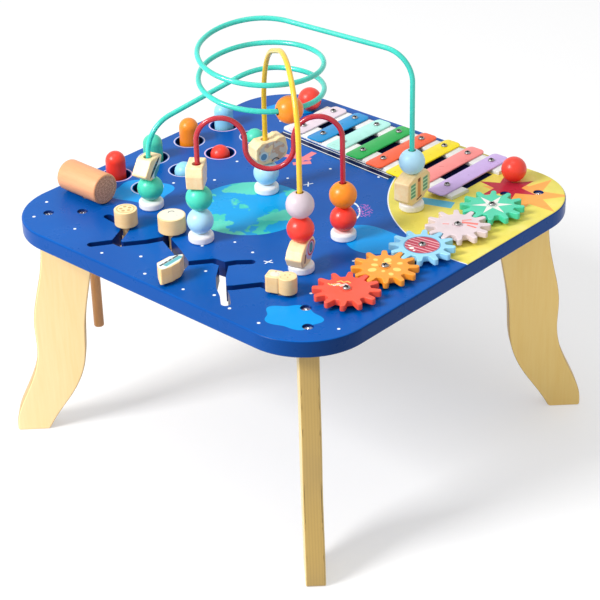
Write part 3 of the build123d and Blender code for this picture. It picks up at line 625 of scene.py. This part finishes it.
topPrint = {
    # the edge blues are set darker than the top's blue: painted shade on the flanks
    "blue": rgb(0, 92, 180), "blueDeep": rgb(0, 78, 162), "edgeBlueShaded": rgb(0, 74, 154),
    # the dark navy of the hole and channel walls is partly their paint and partly painted shade
    "edgePaintedShade": rgb(0, 40, 92), "inside": rgb(8, 44, 112), "sky": rgb(0, 158, 238),
    "pond": rgb(8, 160, 226), "pondGreen": rgb(64, 200, 186), "pondMint": rgb(110, 218, 190),
    "navy": rgb(20, 32, 76), "white": rgb(240, 246, 252), "pool": rgb(96, 182, 212),
    "yellow": rgb(240, 222, 98), "yellowPale": rgb(244, 228, 130), "lime": rgb(222, 212, 98),
    "orange": rgb(250, 172, 84), "red": rgb(190, 44, 66), "reef": rgb(240, 134, 140),
    "pink": rgb(196, 110, 200), "paleRing": rgb(206, 206, 236), "pinkRing": rgb(236, 196, 226),
    "wallEdge": 194.0,  # walls nearer the middle than this belong to holes and channels
    "puddles": (  # centre, radius, depth of the waves, waves, turn, scale
        ((143, -160), 21, 2.2, 5, 15, (1.2, 0.9)), ((-128, -76), 24, 2.4, 4, 40, (1.2, 1.0)),
        ((107, -10), 25, 2.4, 3, 0, (1.3, 0.95)), ((-150, 160), 22, 2.6, 5, 60, (1.2, 0.9)),
    ),
    "pondDisc": ((-24.0, -35.0), 55.0),
    "crosses": (((61, -102), 9, 20), ((-16, 37), 10, 62), ((-176, -34), 7, 10)),  # centre, size, turn
    "crossLine": 1.2, "crossTurn": 68,
    "hoopPlace": ((54, 21.5, 0), (0, 0, 132.8), (2.6, 1, 1)), "hoopLine": ((0, 0), 6.3, 1.3, -90, 130),
    "specks": ((62, 29), 7.6, 132.8, (1.8, 1)), "speckScale": 0.42, "speckSize": 0.3,
    "branches": (((-66, 74), 32, 20), ((-58, 82), 24, 95), ((-74, 82), 20, 140), ((-52, 68), 18, 50)),
    "branchWidth": 6.5,
    "sun": (180.0, 158.0), "sunRadius": 151.0, "sunHem": 1.1,
    "orangeRays": ((157, 150), 44, 19, 7, 12),  # centre, tip, notch, rays, turn
    "redRays": ((136, 152), 30, 13, 6, 40), "poolBar": ((96, 82), 48, 13, 20),
    "bedCentre": (-3, 146), "bedSlope": -0.055, "bedHalf": 26.0, "bedReach": 110.0,
    "bandMiddle": -37.0, "bandReach": 76.0,
    "bandLines": ((40.0, 51.0, "navy"), (41.4, 42.5, "white"), (48.6, 49.7, "white")),
    "pegRows": (-174.0, -130.7), "firstPegY": -67.0, "pegPitch": 50.3, "pegRing": (15.3, 1.15),
}
dots = [
    # scattered white dots: x, y, radius
    (-182, -150, 1.5), (-168, -178, 1.5), (-120, -170, 1.4), (-150, -118, 1.3), (-66, -186, 1.4),
    (-34, -168, 1.5), (-8, -188, 1.5), (30, -150, 1.4), (38, -186, 1.4), (66, -176, 1.5), (92, -184, 1.5),
    (100, -110, 1.4), (128, -186, 1.5), (186, -150, 1.4), (128, -120, 1.4), (60, -60, 1.5), (38, -98, 1.4),
    (12, -94, 1.3), (-58, -112, 1.5), (-118, -44, 1.4), (-92, -14, 1.5), (-104, 30, 1.4), (-64, 58, 1.5),
    (-22, 76, 1.4),
    (12, 46, 1.5), (44, 14, 1.3), (-110, 84, 1.4), (-96, 106, 1.3), (-186, 96, 1.4), (-182, -92, 1.4),
    (-150, 186, 1.5), (-188, 128, 1.3), (60, 84, 1.2), (-6, -118, 1.4), (150, -60, 1.3), (118, -52, 1.4),
    (-70, -60, 1.3), (-84, 52, 1.2), (26, 92, 1.3), (-136, 128, 1.4), (-40, 34, 1.3), (84, -140, 1.3),
]


def crossMark(tree, space, centre, size, turn):
    line, turns = topPrint["crossLine"], (turn, turn + topPrint["crossTurn"])
    return union(tree, *[strip(tree, space, centre, size, line, angle) for angle in turns])


def printWaters(tree, space, base):
    # sky-blue puddles with loose rims, and the pond with its green islands
    p = topPrint
    for puddle in p["puddles"]:
        tone = mixColour(tree, noiseAt(tree, space, scale=0.05), shade(p["sky"], 0.85), p["sky"])
        base = mixColour(tree, scalloped(tree, space, *puddle), base, tone)
    ripple = noiseAt(tree, space, scale=0.03, detail=2.0)
    pond = mixColour(tree, ripple, shade(p["pond"], 0.9), shade(p["pond"], 1.1))
    shallow = blotches(tree, space, 0.03, 0.56, (90, 55, 9), detail=4.0)
    pond = mixColour(tree, shallow, pond, p["pondGreen"])
    reeds = blotches(tree, space, 0.022, 0.53, (40, 12, 5), detail=4.0)
    leaf = mixColour(tree, noiseAt(tree, space, scale=0.06), p["pondGreen"], p["pondMint"])
    pond = mixColour(tree, reeds, pond, leaf)
    return mixColour(tree, disc(tree, space, *p["pondDisc"]), base, pond)


def printMarks(tree, space, base):
    # dots, crosses, a hoop, a cluster of pink specks and a branching reef
    p = topPrint
    stars = [disc(tree, space, (x, y), radius) for x, y, radius in dots]
    marks = [crossMark(tree, space, *mark) for mark in p["crosses"]]
    hoop = arc(tree, moved(tree, space, *p["hoopPlace"]), *p["hoopLine"])
    base = mixColour(tree, union(tree, *stars, *marks, hoop), base, p["white"])
    specks = addNode(tree, "ShaderNodeTexVoronoi", voronoi_dimensions="2D")
    setInputs(specks, {"Scale": p["speckScale"]})
    tree.links.new(space, specks.inputs["Vector"])
    speckled = below(tree, specks.outputs["Distance"], p["speckSize"], soft=0.08)
    base = mixColour(tree, both(tree, disc(tree, space, *p["specks"]), speckled), base, p["pink"])
    reef = [strip(tree, space, spot, size, p["branchWidth"], turn) for spot, size, turn in p["branches"]]
    return mixColour(tree, union(tree, *reef), base, p["reef"])


def printSun(tree, space, base, hem):
    # the yellow quarter: a round field with a thin white edge, rays and a pool
    p = topPrint
    cloud = spread(tree, noiseAt(tree, space, scale=0.016, detail=4.0), 0.35, 0.65, 0, 1)
    field = mixColour(tree, cloud, p["lime"], p["yellow"])
    paler = noiseAt(tree, moved(tree, space, (30, 80, 0)), scale=0.03, detail=5.0)
    field = mixColour(tree, spread(tree, paler, 0.5, 0.75, 0, 1), field, p["yellowPale"])
    field = draw(tree, space, field, p, [
        (starBurst, "orange", *p["orangeRays"]), (starBurst, "red", *p["redRays"]),
        (strip, "pool", *p["poolBar"]),
    ])
    base = mixColour(tree, hem, base, p["white"])
    return mixColour(tree, disc(tree, space, p["sun"], p["sunRadius"]), base, field)


def printBed(tree, space, base, hem):
    # under the bars: a navy bed, and a navy band with two white lines beside it
    p = topPrint
    x, y, z = around(tree, space, p["bedCentre"])
    near = calc(tree, "SUBTRACT", calc(tree, "MULTIPLY", x, p["bedSlope"]), y)
    wide = below(tree, calc(tree, "ABSOLUTE", x), p["bedReach"])
    bed = both(tree, below(tree, calc(tree, "ABSOLUTE", near), p["bedHalf"]), wide)
    base = mixColour(tree, bed, base, p["navy"])
    leftPart = below(tree, calc(tree, "ABSOLUTE", calc(tree, "SUBTRACT", x, p["bandMiddle"])), p["bandReach"])
    outside = calc(tree, "SUBTRACT", 1.0, hem)
    for low, high, ink in p["bandLines"]:
        line = both(tree, above(tree, near, low), below(tree, near, high), leftPart, outside)
        base = mixColour(tree, line, base, p[ink])
    return base


def printPegRings(tree, space, base):
    # a thin ring round each peg hole
    p = topPrint
    for row, x in enumerate(p["pegRows"]):
        for number in range(4):
            tone = p["pinkRing"] if (row + number) % 3 == 0 else p["paleRing"]
            spot = (x, p["firstPegY"] + p["pegPitch"] * number)
            base = mixColour(tree, ring(tree, space, spot, *p["pegRing"]), base, tone)
    return base


def printTop(tree, space, base):
    hem = disc(tree, space, topPrint["sun"], topPrint["sunRadius"] + topPrint["sunHem"])
    base = printMarks(tree, space, printWaters(tree, space, base))
    base = printBed(tree, space, printSun(tree, space, base, hem), hem)
    return printPegRings(tree, space, base)


def paintFlank(tree, cloud, x, y):
    p = topPrint
    # the flank blue is darker than the top's blue, as painted shade on the sides
    flank = mixColour(tree, cloud, shade(p["edgeBlueShaded"], 0.92), p["edgeBlueShaded"])
    # painted shade: the flank is darkened round the +X edge, and most at the front corner, the sides turned
    # from the key light
    flankShade = both(tree, spread(tree, x, 130.0, 195.0, 0, 1), spread(tree, y, -180.0, 160.0, 0.85, 0.2))
    flank = mixColour(tree, flankShade, flank, p["edgePaintedShade"])
    # a squared-off distance tells the walls of holes and channels from the outer edge; those walls take a
    # dark navy, partly their own paint and partly painted shade down the holes and channels
    eighths = [calc(tree, "POWER", calc(tree, "ABSOLUTE", value), 8.0) for value in (x, y)]
    outward = calc(tree, "POWER", calc(tree, "ADD", *eighths), 1 / 8)
    return mixColour(tree, below(tree, outward, p["wallEdge"]), flank, p["inside"])


def topMaterial():
    material, tree, shader = newMaterial("printedBoard")
    space = ownSpace(tree)
    cloud = noiseRange(tree, noiseAt(tree, space, scale=0.009, detail=4.0), 0, 1)
    printed = printTop(tree, space, mixColour(tree, cloud, topPrint["blueDeep"], topPrint["blue"]))
    x, y, z = axesOf(tree, space)
    upper = above(tree, z, topFace - 0.5, soft=0.2)
    flank = paintFlank(tree, cloud, x, y)
    tree.links.new(mixColour(tree, upper, flank, printed), shader.inputs["Base Color"])
    setSheen(tree, shader, noiseAt(tree, space, scale=0.05), 0.3, drift=0.04)
    setInputs(shader, {"Specular IOR Level": 0.1, "Coat Weight": 0.02, "Coat Roughness": 0.12})
    addBump(tree, shader, noiseAt(tree, space, scale=0.06, detail=2.0), strength=0.15, depth=0.1)
    return material


dress("table_top", topMaterial())
print("top printed")


# legs, bolts and what is under the top

legs = {
    "light": rgb(255, 236, 176), "dark": rgb(250, 224, 154), "sawn": rgb(204, 172, 96),
    "arris": 1.8, "thickness": 18.0, "veneer": 2.6,
    "turns": {"front_leg": -45, "right_leg": 45, "rear_leg": 135, "left_leg": 225},
    "shadeTints": {  # painted light and shade: each board gets its own tint for the light it stands in, the front leg darkened for the shade under the top's corner, the right leg deepened and warmed for the top's shadow and its bounce light, the rear and left legs tuned likewise
        "front_leg": (0.77, 0.74, 0.74), "right_leg": (1, 0.87, 0.6), "rear_leg": (1, 0.9, 0.74),
        "left_leg": (0.97, 0.88, 0.94),
    },
}
underParts = {
    "steel": (0.74, 0.74, 0.76, 1), "guideBoardShade": rgb(24, 40, 92), "boxLight": rgb(232, 206, 158),
    "boxDark": rgb(206, 170, 118),
}


def makeLeg(name, turn):
    # each board's tones carry its tint of painted light and shade
    tones = [tinted(legs[key], legs["shadeTints"][name]) for key in ("light", "dark", "sawn")]
    board = plyBoard(name + "Ply", *tones, turn, legs["thickness"], legs["veneer"])
    across = Vector((-math.sin(math.radians(turn)), math.cos(math.radians(turn)), 0))
    easedCopy(name + "_eased", name, "table", board, legs["arris"], across)


for name, turn in legs["turns"].items():
    makeLeg(name, turn)
steel = metal("zincSteel", underParts["steel"])
for name in ("leg_bolts", "leg_inserts", "rocker_axle", "wire_push_nuts"):
    dress(name, steel)
# the guide board's dark navy is painted shade, for the dark seen down the peg holes round the pegs
dress("peg_guide_board", paint("navyBoardShade", underParts["guideBoardShade"], 0.5))
boxWood = wood("boxWood", underParts["boxLight"], underParts["boxDark"], turn=(0, 0, 90))
for name in ["peg_box_frame"] + [f"rocker_{number}" for number in range(1, 5)]:
    dress(name, boxWood)
print("legs and fittings done")


# bead wires and their collars

wires = {
    "teal_wire": rgb(50, 206, 188), "yellow_wire": rgb(238, 194, 34), "red_wire": rgb(182, 16, 38),
    "collars": rgb(249, 247, 247),
}
for name in ("teal_wire", "yellow_wire", "red_wire"):
    dress(name, enamel(name + "Enamel", wires[name]))
dress("teal_wire_posts", nodes["teal_wire"].data.materials[0])
dress("wire_collars", plastic("whitePlastic", wires["collars"], 0.38))


# beads

beadColours = {
    "red": rgb(255, 62, 46), "orange": rgb(255, 142, 24), "green": rgb(70, 216, 184),
    "blue": rgb(182, 230, 255), "white": rgb(208, 192, 200),
}
for name in nodes:
    if name.endswith("_ball"):
        low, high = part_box(name)
        bore = None if name == "coil_orange_ball" else ((low.x + high.x) / 2 / mm, (low.y + high.y) / 2 / mm)
        dress(name, paint(name + "Paint", beadColours[name.split("_")[-2]], bore=bore))
print("wires and balls done")


# wooden blocks on the wires

woodTones = {"light": rgb(255, 234, 188), "dark": rgb(252, 214, 154)}
inks = {
    "black": rgb(24, 28, 36), "teal": rgb(70, 150, 160), "palest": rgb(214, 232, 234),
    "green": rgb(96, 158, 124), "mint": rgb(190, 232, 196), "orange": rgb(226, 148, 84),
    "brown": rgb(110, 44, 24), "grey": rgb(222, 212, 196), "tan": rgb(216, 178, 146),
    "blue": rgb(96, 150, 186), "red": rgb(206, 52, 52), "lilac": rgb(206, 196, 226),
}


def pebblePatch(tree, face):
    worn = blotches(tree, face, 0.09, 0.42, (3, 9, 0))
    return both(tree, disc(tree, face, (3.5, 0), 12.6, 0, (1.2, 0.85)), worn)


def pebbleIslands(tree, face):
    return both(tree, pebblePatch(tree, face), blotches(tree, face, 0.16, 0.54, (21, 5, 0), detail=3.0))


leafPrint = [
    (disc, "palest", (1.5, -1.5), 7.6, 48, (1.25, 0.8)), (disc, "teal", (3.2, -4.4), 4.6, 40, (1.5, 0.9)),
    (disc, "black", (-1.0, 0.8), 5.4, 42, (2.1, 0.34)),
    *[(strip, "teal", (shift - 0.4, shift + 1.2), 1.8, 0.7, -40) for shift in (-2.4, 0.2, 2.8)],
]
cabinPrint = [
    (strip, "orange", (1.5, 0.5), 19.0, 5.4, 90), (disc, "brown", (1.5, 8.0), 1.9),
    (strip, "brown", (1.5, -10.2), 9.0, 1.7, 8),
    *[(strip, "mint", (x, 0.5), 14.4, 8.4, 90) for x in (-9.0, 12.5)],
    *[(strip, "green", (x, 3.7 * row - 5.0), 8.0, 2.3) for x in (-9.0, 12.5) for row in range(4)],
]
pebblePrint = [
    (pebblePatch, "grey"), (pebbleIslands, "tan"), (disc, "palest", (-6.0, -2.4), 4.6),
    (disc, "blue", (-6.0, -2.8), 3.3), (arc, "black", (6.5, -11.5), 4.5, 1.1, 90, 60),
]
figurePrint = [
    (disc, "lilac", (3.0, 1.5), 8.6), (ring, "red", (5.5, 2.6), 6.6, 1.6),
    (disc, "teal", (5.5, 2.6), 3.4, 0, (0.8, 1.2)), (ring, "black", (5.5, 2.6), 3.6, 0.9, (0.8, 1.2)),
    (strip, "brown", (-7.0, -3.0), 8.0, 2.6, 70),
]
brickPrint = [(strip, "lilac", (2.3, 4.4 * row - 6.5), 18.0, 1.6, 4) for row in range(4)]
blocks = {
    # node: post, middle height above the top, heading of its length, from post to printed face, print
    "teal_post_leaf_block": ((-98.3, -92.4), 41.4, 103.0, 7.2, leafPrint),
    "teal_post_cabin_block": ((91.9, 61.5), 22.3, 98.0, 7.2, cabinPrint),
    "yellow_post_pebble_block": ((-36.9, 1.1), 42.7, 74.0, 7.2, pebblePrint),
    "yellow_post_figure_block": ((93.6, -94.1), 18.8, 108.0, 7.2, figurePrint),
    "red_post_brick_block": ((-14.7, -110.3), 65.6, 126.0, 6.0, brickPrint),
}
for name, (post, height, turn, reach, shapes) in blocks.items():
    artwork = artworkOn((*post, topFace + height), (90, 0, turn), reach - 0.45, inks, shapes)
    dress(name, wood(name + "Wood", woodTones["light"], woodTones["dark"], (0, 0, turn), (*post, topFace),
                     artwork=artwork))
print("blocks printed")


# hammer: a turned head with bare ends, and its handle

hammer = {
    "place": (-161.0, -116.0), "middle": topFace + 15.3, "radius": 15.0, "half": 26.0,
    "rim": 1.6, "hollow": 0.12, "rimSteps": 4, "around": 72,
    "side": rgb(240, 170, 120), "sideDark": rgb(224, 154, 106), "endLight": rgb(255, 206, 170),
    "endDark": rgb(184, 114, 90), "handle": rgb(206, 156, 104), "handleDark": rgb(176, 122, 74),
}


def hammerSections():
    # place along the head and radius there: flat end, rounded rim, faintly hollow side, and the same back
    half, radius, rim = hammer["half"], hammer["radius"], hammer["rim"]
    sections = [(-half, radius * 0.5), (-half, radius - rim)]
    for step in range(1, hammer["rimSteps"] + 1):
        angle = math.pi / 2 * (1 - step / hammer["rimSteps"])
        sections.append((-half + rim * (1 - math.sin(angle)), radius - rim + rim * math.cos(angle)))
    belly = [(share * half, min(radius, radius - hammer["hollow"] * math.cos(share * math.pi)))
             for share in (-0.6, -0.2, 0.2, 0.6)]
    return sections + belly + [(-x, reach) for x, reach in reversed(sections)]


def makeHammer():
    middle = Vector((*hammer["place"], hammer["middle"]))
    bm = bmesh.new()
    rings = []
    for x, radius in hammerSections():
        loop = []
        for number in range(hammer["around"]):
            angle = 2 * math.pi * number / hammer["around"]
            offset = Vector((x, radius * math.cos(angle), radius * math.sin(angle)))
            loop.append(bm.verts.new(middle + offset))
        rings.append(loop)
    bridge(bm, rings, cap=True)
    for face in bm.faces:
        if abs(face.calc_center_median().x - middle.x) > hammer["half"] - 0.05:
            face.material_index = 1
    sideWood = wood("hammerWood", hammer["side"], hammer["sideDark"], (0, 0, 0), middle, 10.0, 0.5)
    bareEnd = endGrain("hammerEnd", hammer["endLight"], hammer["endDark"], middle, (0, 90, 0))
    makePiece("hammer_head_turned", bm, "hammer", [sideWood, bareEnd], ["hammer_head"], sharp=60.0)
    handle = wood("handleWood", hammer["handle"], hammer["handleDark"], (0, 90, 0), middle, 12.0, 0.5)
    dress("hammer_handle", handle)


makeHammer()


# beaters: painted balls on bare sticks

beaters = {"colour": rgb(244, 66, 48), "stick": rgb(226, 190, 140), "ballFoot": topFace + 0.9}


def stickBelow(tree, space, base):
    x, y, z = axesOf(tree, space)
    return mixColour(tree, below(tree, z, beaters["ballFoot"]), base, beaters["stick"])


beaterPaint = paint("beaterPaint", beaters["colour"], artwork=stickBelow)
for name in ("left_beater", "right_beater"):
    dress(name, beaterPaint)


# pegs

pegs = {
    "back": ("red", "green", "orange", "blue"), "front": ("orange", "blue", "red", "green"),
    "red": rgb(248, 60, 44), "orange": rgb(252, 140, 30), "green": rgb(72, 206, 174),
    "blue": rgb(146, 214, 244),
}
for row in ("back", "front"):
    for number, key in enumerate(pegs[row], start=1):
        dress(f"{row}_peg_{number}", paint(f"{row}Peg{number}Paint", pegs[key]))
print("hammer, beaters and pegs done")


# gears: eased edges and a printed motif on each

gears = {
    "row": 156.3, "firstY": -105.7, "pitch": 51.5, "upper": topFace + 9.0, "arris": 0.7,
    "colours": (rgb(244, 86, 60), rgb(250, 156, 42), rgb(152, 214, 242), rgb(226, 208, 212),
                rgb(72, 208, 168)),
    "hubs": (rgb(236, 92, 70), rgb(240, 160, 66), rgb(214, 110, 120), rgb(220, 200, 206),
             rgb(214, 236, 224)),
    "white": rgb(240, 236, 230), "yellow": rgb(255, 214, 110), "red": rgb(186, 52, 78),
    "blush": rgb(242, 184, 192), "coral": rgb(240, 120, 110), "deepBlue": rgb(88, 150, 190),
    "stripedRadius": 15.6,
}


def stripeWithin(tree, face, offset, width):
    field = disc(tree, face, (0, 0), gears["stripedRadius"])
    return both(tree, strip(tree, face, (0, offset), 40, width, 8), field)


coralRows = (("white", -13, -3), ("white", -11.5, 0.5), ("yellow", -16, -4), ("yellow", -13, 5))
coralPrint = [
    (strip, ink, (x + 2.5 * number, y + 1.6 * number), 4.2, 1.1, 70 if (number + row) % 2 else -10)
    for row, (ink, x, y) in enumerate(coralRows) for number in range(4)
]
dotPrint = [
    (disc, "yellow", onCircle(away, bearing), radius, bearing, (1.1, 0.9)) for bearing, away, radius in (
        (10, 12, 3.4), (62, 14, 2.4), (118, 11, 3.8), (165, 14.5, 2.2), (205, 9.5, 2.8), (250, 13, 3.6),
        (300, 9, 1.8), (330, 15, 2.4), (90, 6.6, 1.4), (145, 6.2, 1.2))
]
stripedPrint = [
    (disc, "deepBlue", (0, 0), gears["stripedRadius"] + 1), (disc, "red", (0, 0), gears["stripedRadius"]),
    *[(stripeWithin, "blush", offset, width) for offset, width in (
        (-11, 0.8), (-6.5, 1.2), (-2.5, 0.7), (2.5, 1.1), (6.5, 0.8), (10.5, 1.3))],
    (disc, "white", (-3.5, -10.5), 2.2), (disc, "white", (-8.0, -8.0), 1.3),
    (disc, "white", (1.0, -12.6), 1.2),
]
strokePrint = [
    (strip, "coral", (7, 9), 15, 3.4, 25), (strip, "coral", (12, 5), 10, 2.2, 5),
    (strip, "coral", (1, 12), 9, 1.6, 50), (strip, "coral", (-9, -6), 6, 1.4, 35),
]
starPrint = [(starBurst, "white", (0, 0), 19.0, 6.0, 6, 12)]
gearPrints = (coralPrint, dotPrint, stripedPrint, strokePrint, starPrint)


def makeGear(number):
    centre = (gears["row"], gears["firstY"] + gears["pitch"] * number, 0)
    artwork = artworkOn(centre, (0, 0, 0), gears["upper"] - 0.3, gears, gearPrints[number])
    finish = paint(f"gearPaint{number + 1}", gears["colours"][number], 0.4, 0.15, 0.3, artwork=artwork)
    name = f"gear_{number + 1}"
    easedCopy(name + "_eased", name, name, finish, gears["arris"], Vector((0, 0, 1)))


def dressHubs():
    # nylon hubs in one piece of the frame, each tinted like the gear it carries
    material, tree, shader = newMaterial("hubNylon")
    space = ownSpace(tree)
    x, y, z = axesOf(tree, space)
    base = gears["hubs"][0]
    for number in range(1, 5):
        past = above(tree, y, gears["firstY"] + gears["pitch"] * (number - 0.5), soft=1.0)
        base = mixColour(tree, past, base, gears["hubs"][number])
    tree.links.new(base, shader.inputs["Base Color"])
    setSheen(tree, shader, noiseAt(tree, space, scale=0.3, detail=2.0), 0.45, drift=0.05)
    dress("gear_bushes", material)


for gearNumber in range(5):
    makeGear(gearNumber)
dressHubs()
print("gears done")


# xylophone: crowned bars on two felt strips

xylophone = {
    "firstX": -101.0, "pitch": 28.0, "width": 19.5, "corner": 4.5,
    "low": topFace + 3.5, "high": topFace + 6.1, "plate": 1.6,
    "lengths": (73.0, 106.0), "middles": (146.5, 144.0), "screws": (147.9, 145.6),
    "screwGaps": (45.7, 69.0), "feltWidth": 24.0, "feltHeight": 3.45, "feltSteps": 60, "overhang": 17.0,
    "felt": rgb(242, 242, 239), "frayWide": 0.22, "frayUpper": 0.12,
    "colours": (rgb(232, 216, 226), rgb(0, 140, 204), rgb(176, 236, 224), rgb(0, 172, 74), rgb(250, 96, 50),
                rgb(252, 226, 0), rgb(252, 144, 140), rgb(206, 176, 232)),
    # in from the outline, and up through the plate: under the bar, round its edge, over its face
    "barRings": ((6.0, 0.0), (2.0, 0.0), (0.35, 0.0), (0.0, 0.3), (0.0, 0.75), (0.18, 0.93), (0.6, 1.0),
                 (2.0, 1.0), (4.2, 1.0), (6.6, 1.0), (9.0, 1.0)),
}


def barX(number):
    return xylophone["firstX"] + xylophone["pitch"] * number


def shareOf(key, number):
    # a measure that runs evenly from the first bar to the last
    first, last = xylophone[key]
    return first + (last - first) * number / 7


def screwSpot(number, side):
    return (barX(number), shareOf("screws", number) + side * shareOf("screwGaps", number) / 2)


def makeBar(number):
    k = xylophone
    length, half = shareOf("lengths", number), k["width"] / 2
    crown = k["high"] - k["low"] - k["plate"]
    bm = bmesh.new()
    rings = []
    for inset, level in k["barRings"]:
        loop = []
        corner = max(k["corner"] - inset, 0.4)
        for point in roundedRectangle(k["width"] - 2 * inset, length - 2 * inset, corner):
            height = k["low"] + crown * (1 - (point.x / half) ** 2) + level * k["plate"]
            loop.append(bm.verts.new((barX(number) + point.x, shareOf("middles", number) + point.y, height)))
        rings.append(loop)
    bridge(bm, rings, cap=True)
    finish = paint(f"barPaint{number + 1}", k["colours"][number], 0.32, 0.06, 0.12, shine=0.3)
    replaced = ["xylophone_bars"] if number == 0 else []
    makePiece(f"bar_{number + 1}", bm, "table", [finish], replaced, sharp=40.0)


def makeFelt(name, side, finish, replaced):
    k = xylophone
    ends = [Vector(screwSpot(number, side)) for number in (0, 7)]
    along = (ends[1] - ends[0]).normalized()
    across = Vector((-along.y, along.x))
    start = ends[0] - along * k["overhang"]
    length = (ends[1] - ends[0]).length + 2 * k["overhang"]
    steps, half, height = k["feltSteps"], k["feltWidth"] / 2, k["feltHeight"]
    # place across the strip and height over the board, from one side to the other
    profile = [(-half, 0.1), (-half, height * 0.6), (-half + 0.5, height * 0.92), (-half + 1.6, height)]
    profile += [(-half * 0.3, height), (half * 0.3, height)]
    profile += [(-place, level) for place, level in reversed(profile[:4])]
    bm = bmesh.new()
    rings = []
    for step in range(steps + 1):
        spot = start + along * (length * step / steps)
        loop = []
        for place, level in profile:
            fray = random.uniform(-k["frayWide"] if abs(place) > half * 0.5 else -k["frayUpper"], 0.0)
            point = spot + across * (place - math.copysign(abs(fray), place))
            loop.append(bm.verts.new((point.x, point.y, topFace + max(0.05, level + fray * 0.3))))
        rings.append(loop)
    bridge(bm, rings, cap=True)
    makePiece(name, bm, "table", [finish], replaced, sharp=50.0)


for barNumber in range(8):
    makeBar(barNumber)
felt = feltCloth("whiteFelt", xylophone["felt"])
makeFelt("felt_near", -1, felt, [])
makeFelt("felt_far", 1, felt, ["xylophone_felts"])


# cross-recessed screws: pan heads low on the bars and higher on the gears

screws = {
    "barHead": (6.2, topFace + 6.2), "gearHead": (6.9, topFace + 9.35),  # diameter, seat
    "rise": 1.9, "shank": 1.5, "foot": topFace - 11.0, "around": 24,
    "slotWidth": 0.78, "slotReach": 0.78, "slotTaper": 0.8, "slotFloor": 0.4,
    "steel": (0.36, 0.35, 0.35, 1), "shadow": (0.05, 0.05, 0.055, 1),
}


def turnedRings(bm, spot, profile, steps):
    rings = []
    for reach, level in profile:
        loop = []
        for number in range(steps):
            angle = 2 * math.pi * number / steps
            x, y = spot[0] + reach * math.cos(angle), spot[1] + reach * math.sin(angle)
            loop.append(bm.verts.new((x, y, level)))
        rings.append(loop)
    return rings


def crossCorners(far, wide, turn):
    corners = []
    for quarter in range(4):
        angle = math.pi / 2 * quarter + turn
        cosine, sine = math.cos(angle), math.sin(angle)
        for x, y in ((far, -wide), (far, wide), (wide, wide)):
            corners.append((x * cosine - y * sine, x * sine + y * cosine))
    return corners


def addScrew(bm, spot, size, turn):
    diameter, seat = size
    radius, rise, steps = diameter / 2, screws["rise"], screws["around"]
    profile = [(screws["shank"], screws["foot"]), (screws["shank"], seat), (radius * 0.97, seat),
               (radius, seat + 0.35), (radius * 0.93, seat + 0.95), (radius * 0.74, seat + rise * 0.8),
               (radius * 0.62, seat + rise * 0.93)]
    rings = turnedRings(bm, spot, profile, steps)
    bridge(bm, rings)
    bm.faces.new(list(reversed(rings[0])))
    # the crown runs in to a cross-shaped rim, which drops to a dark floor
    upper, lower = [], []
    for x, y in crossCorners(radius * screws["slotReach"], screws["slotWidth"], turn):
        taper = screws["slotTaper"]
        upper.append(bm.verts.new((spot[0] + x, spot[1] + y, seat + rise)))
        lower.append(bm.verts.new((spot[0] + x * taper, spot[1] + y * taper, seat + screws["slotFloor"])))
    outer = rings[-1]
    offset = round(turn / (2 * math.pi / steps)) - 1
    for index, corner in enumerate(upper):
        # two steps of the outer ring for each step of the cross
        first, middle, last = (outer[(offset + 2 * index + shift) % steps] for shift in (0, 1, 2))
        following = upper[(index + 1) % len(upper)]
        for triangle in ((corner, first, middle), (corner, middle, following), (following, middle, last)):
            bm.faces.new(triangle)
    before = set(bm.faces)
    bridge(bm, [upper, lower])
    bm.faces.new(lower)
    for face in set(bm.faces) - before:
        face.material_index = 1


def makeScrews():
    bm = bmesh.new()
    for number in range(8):
        for side in (-1, 1):
            addScrew(bm, screwSpot(number, side), screws["barHead"], random.uniform(0, math.pi))
    for number in range(5):
        spot = (gears["row"], gears["firstY"] + gears["pitch"] * number)
        addScrew(bm, spot, screws["gearHead"], random.uniform(0, math.pi))
    heads = metal("screwSteel", screws["steel"], 0.38)
    recess = metal("screwRecess", screws["shadow"], 0.6)
    makePiece("screws", bm, "table", [heads, recess], ["wood_screws"], sharp=40.0)


makeScrews()
print("xylophone done")


# sliders: wooden knobs with a printed upper face and warmer sawn sides

sliderInks = {
    "brown": rgb(206, 164, 100), "white": rgb(232, 228, 212), "dark": rgb(40, 44, 52),
    "teal": rgb(96, 178, 186), "grey": rgb(212, 206, 196), "pale": rgb(226, 240, 240),
}
drumPrint = [
    (ring, "brown", (0, 0), 8.0, 0.9),
    *[(disc, "brown", onCircle(4.3, 72 * number), 1.7) for number in range(5)],
]
discPrint = [
    (disc, "white", (0, 0), 11.6), (arc, "dark", (-3, 3), 3.0, 0.9, 150, 70), (disc, "grey", (4.5, 2.5), 0.9),
]
rocketPrint = [
    (strip, "pale", (0, 0), 30, 11.5, 94), (strip, "teal", (1.8, 2), 22, 4.2, 94),
    (strip, "dark", (-1.4, 0), 24, 2.0, 94), *[(disc, "white", (-1.6, y), 0.7) for y in (-6, -1, 4)],
]
cloudPrint = [
    (disc, "white", (-5, -2), 4.6),
    *[(disc, "brown", spot, 0.75) for spot in ((3, 2), (6, 5), (7.5, 0.5), (-7, 1.5), (2.5, -3))],
    (arc, "grey", (-4, -3), 3.4, 0.8, 60, 80),
]
sliders = {
    "upper": topFace + 18.0, "side": rgb(240, 190, 116),
    "knobs": {  # node: place, heading of the grain, print
        "drum_slider": ((-87.0, -135.4), 20, drumPrint), "disc_slider": ((-45.7, -116.6), 70, discPrint),
        "rocket_slider": ((17.0, -180.0), 94, rocketPrint), "cloud_slider": ((108.0, -136.0), 22, cloudPrint),
    },
}
for name, (place, grainTurn, shapes) in sliders["knobs"].items():
    spot = (*place, 0)
    artwork = artworkOn(spot, (0, 0, 0), sliders["upper"] - 0.3, sliderInks, shapes, sliders["side"])
    dress(name, wood(name + "Wood", woodTones["light"], woodTones["dark"], (0, 0, grainTurn), spot,
                     artwork=artwork))
print("sliders done")
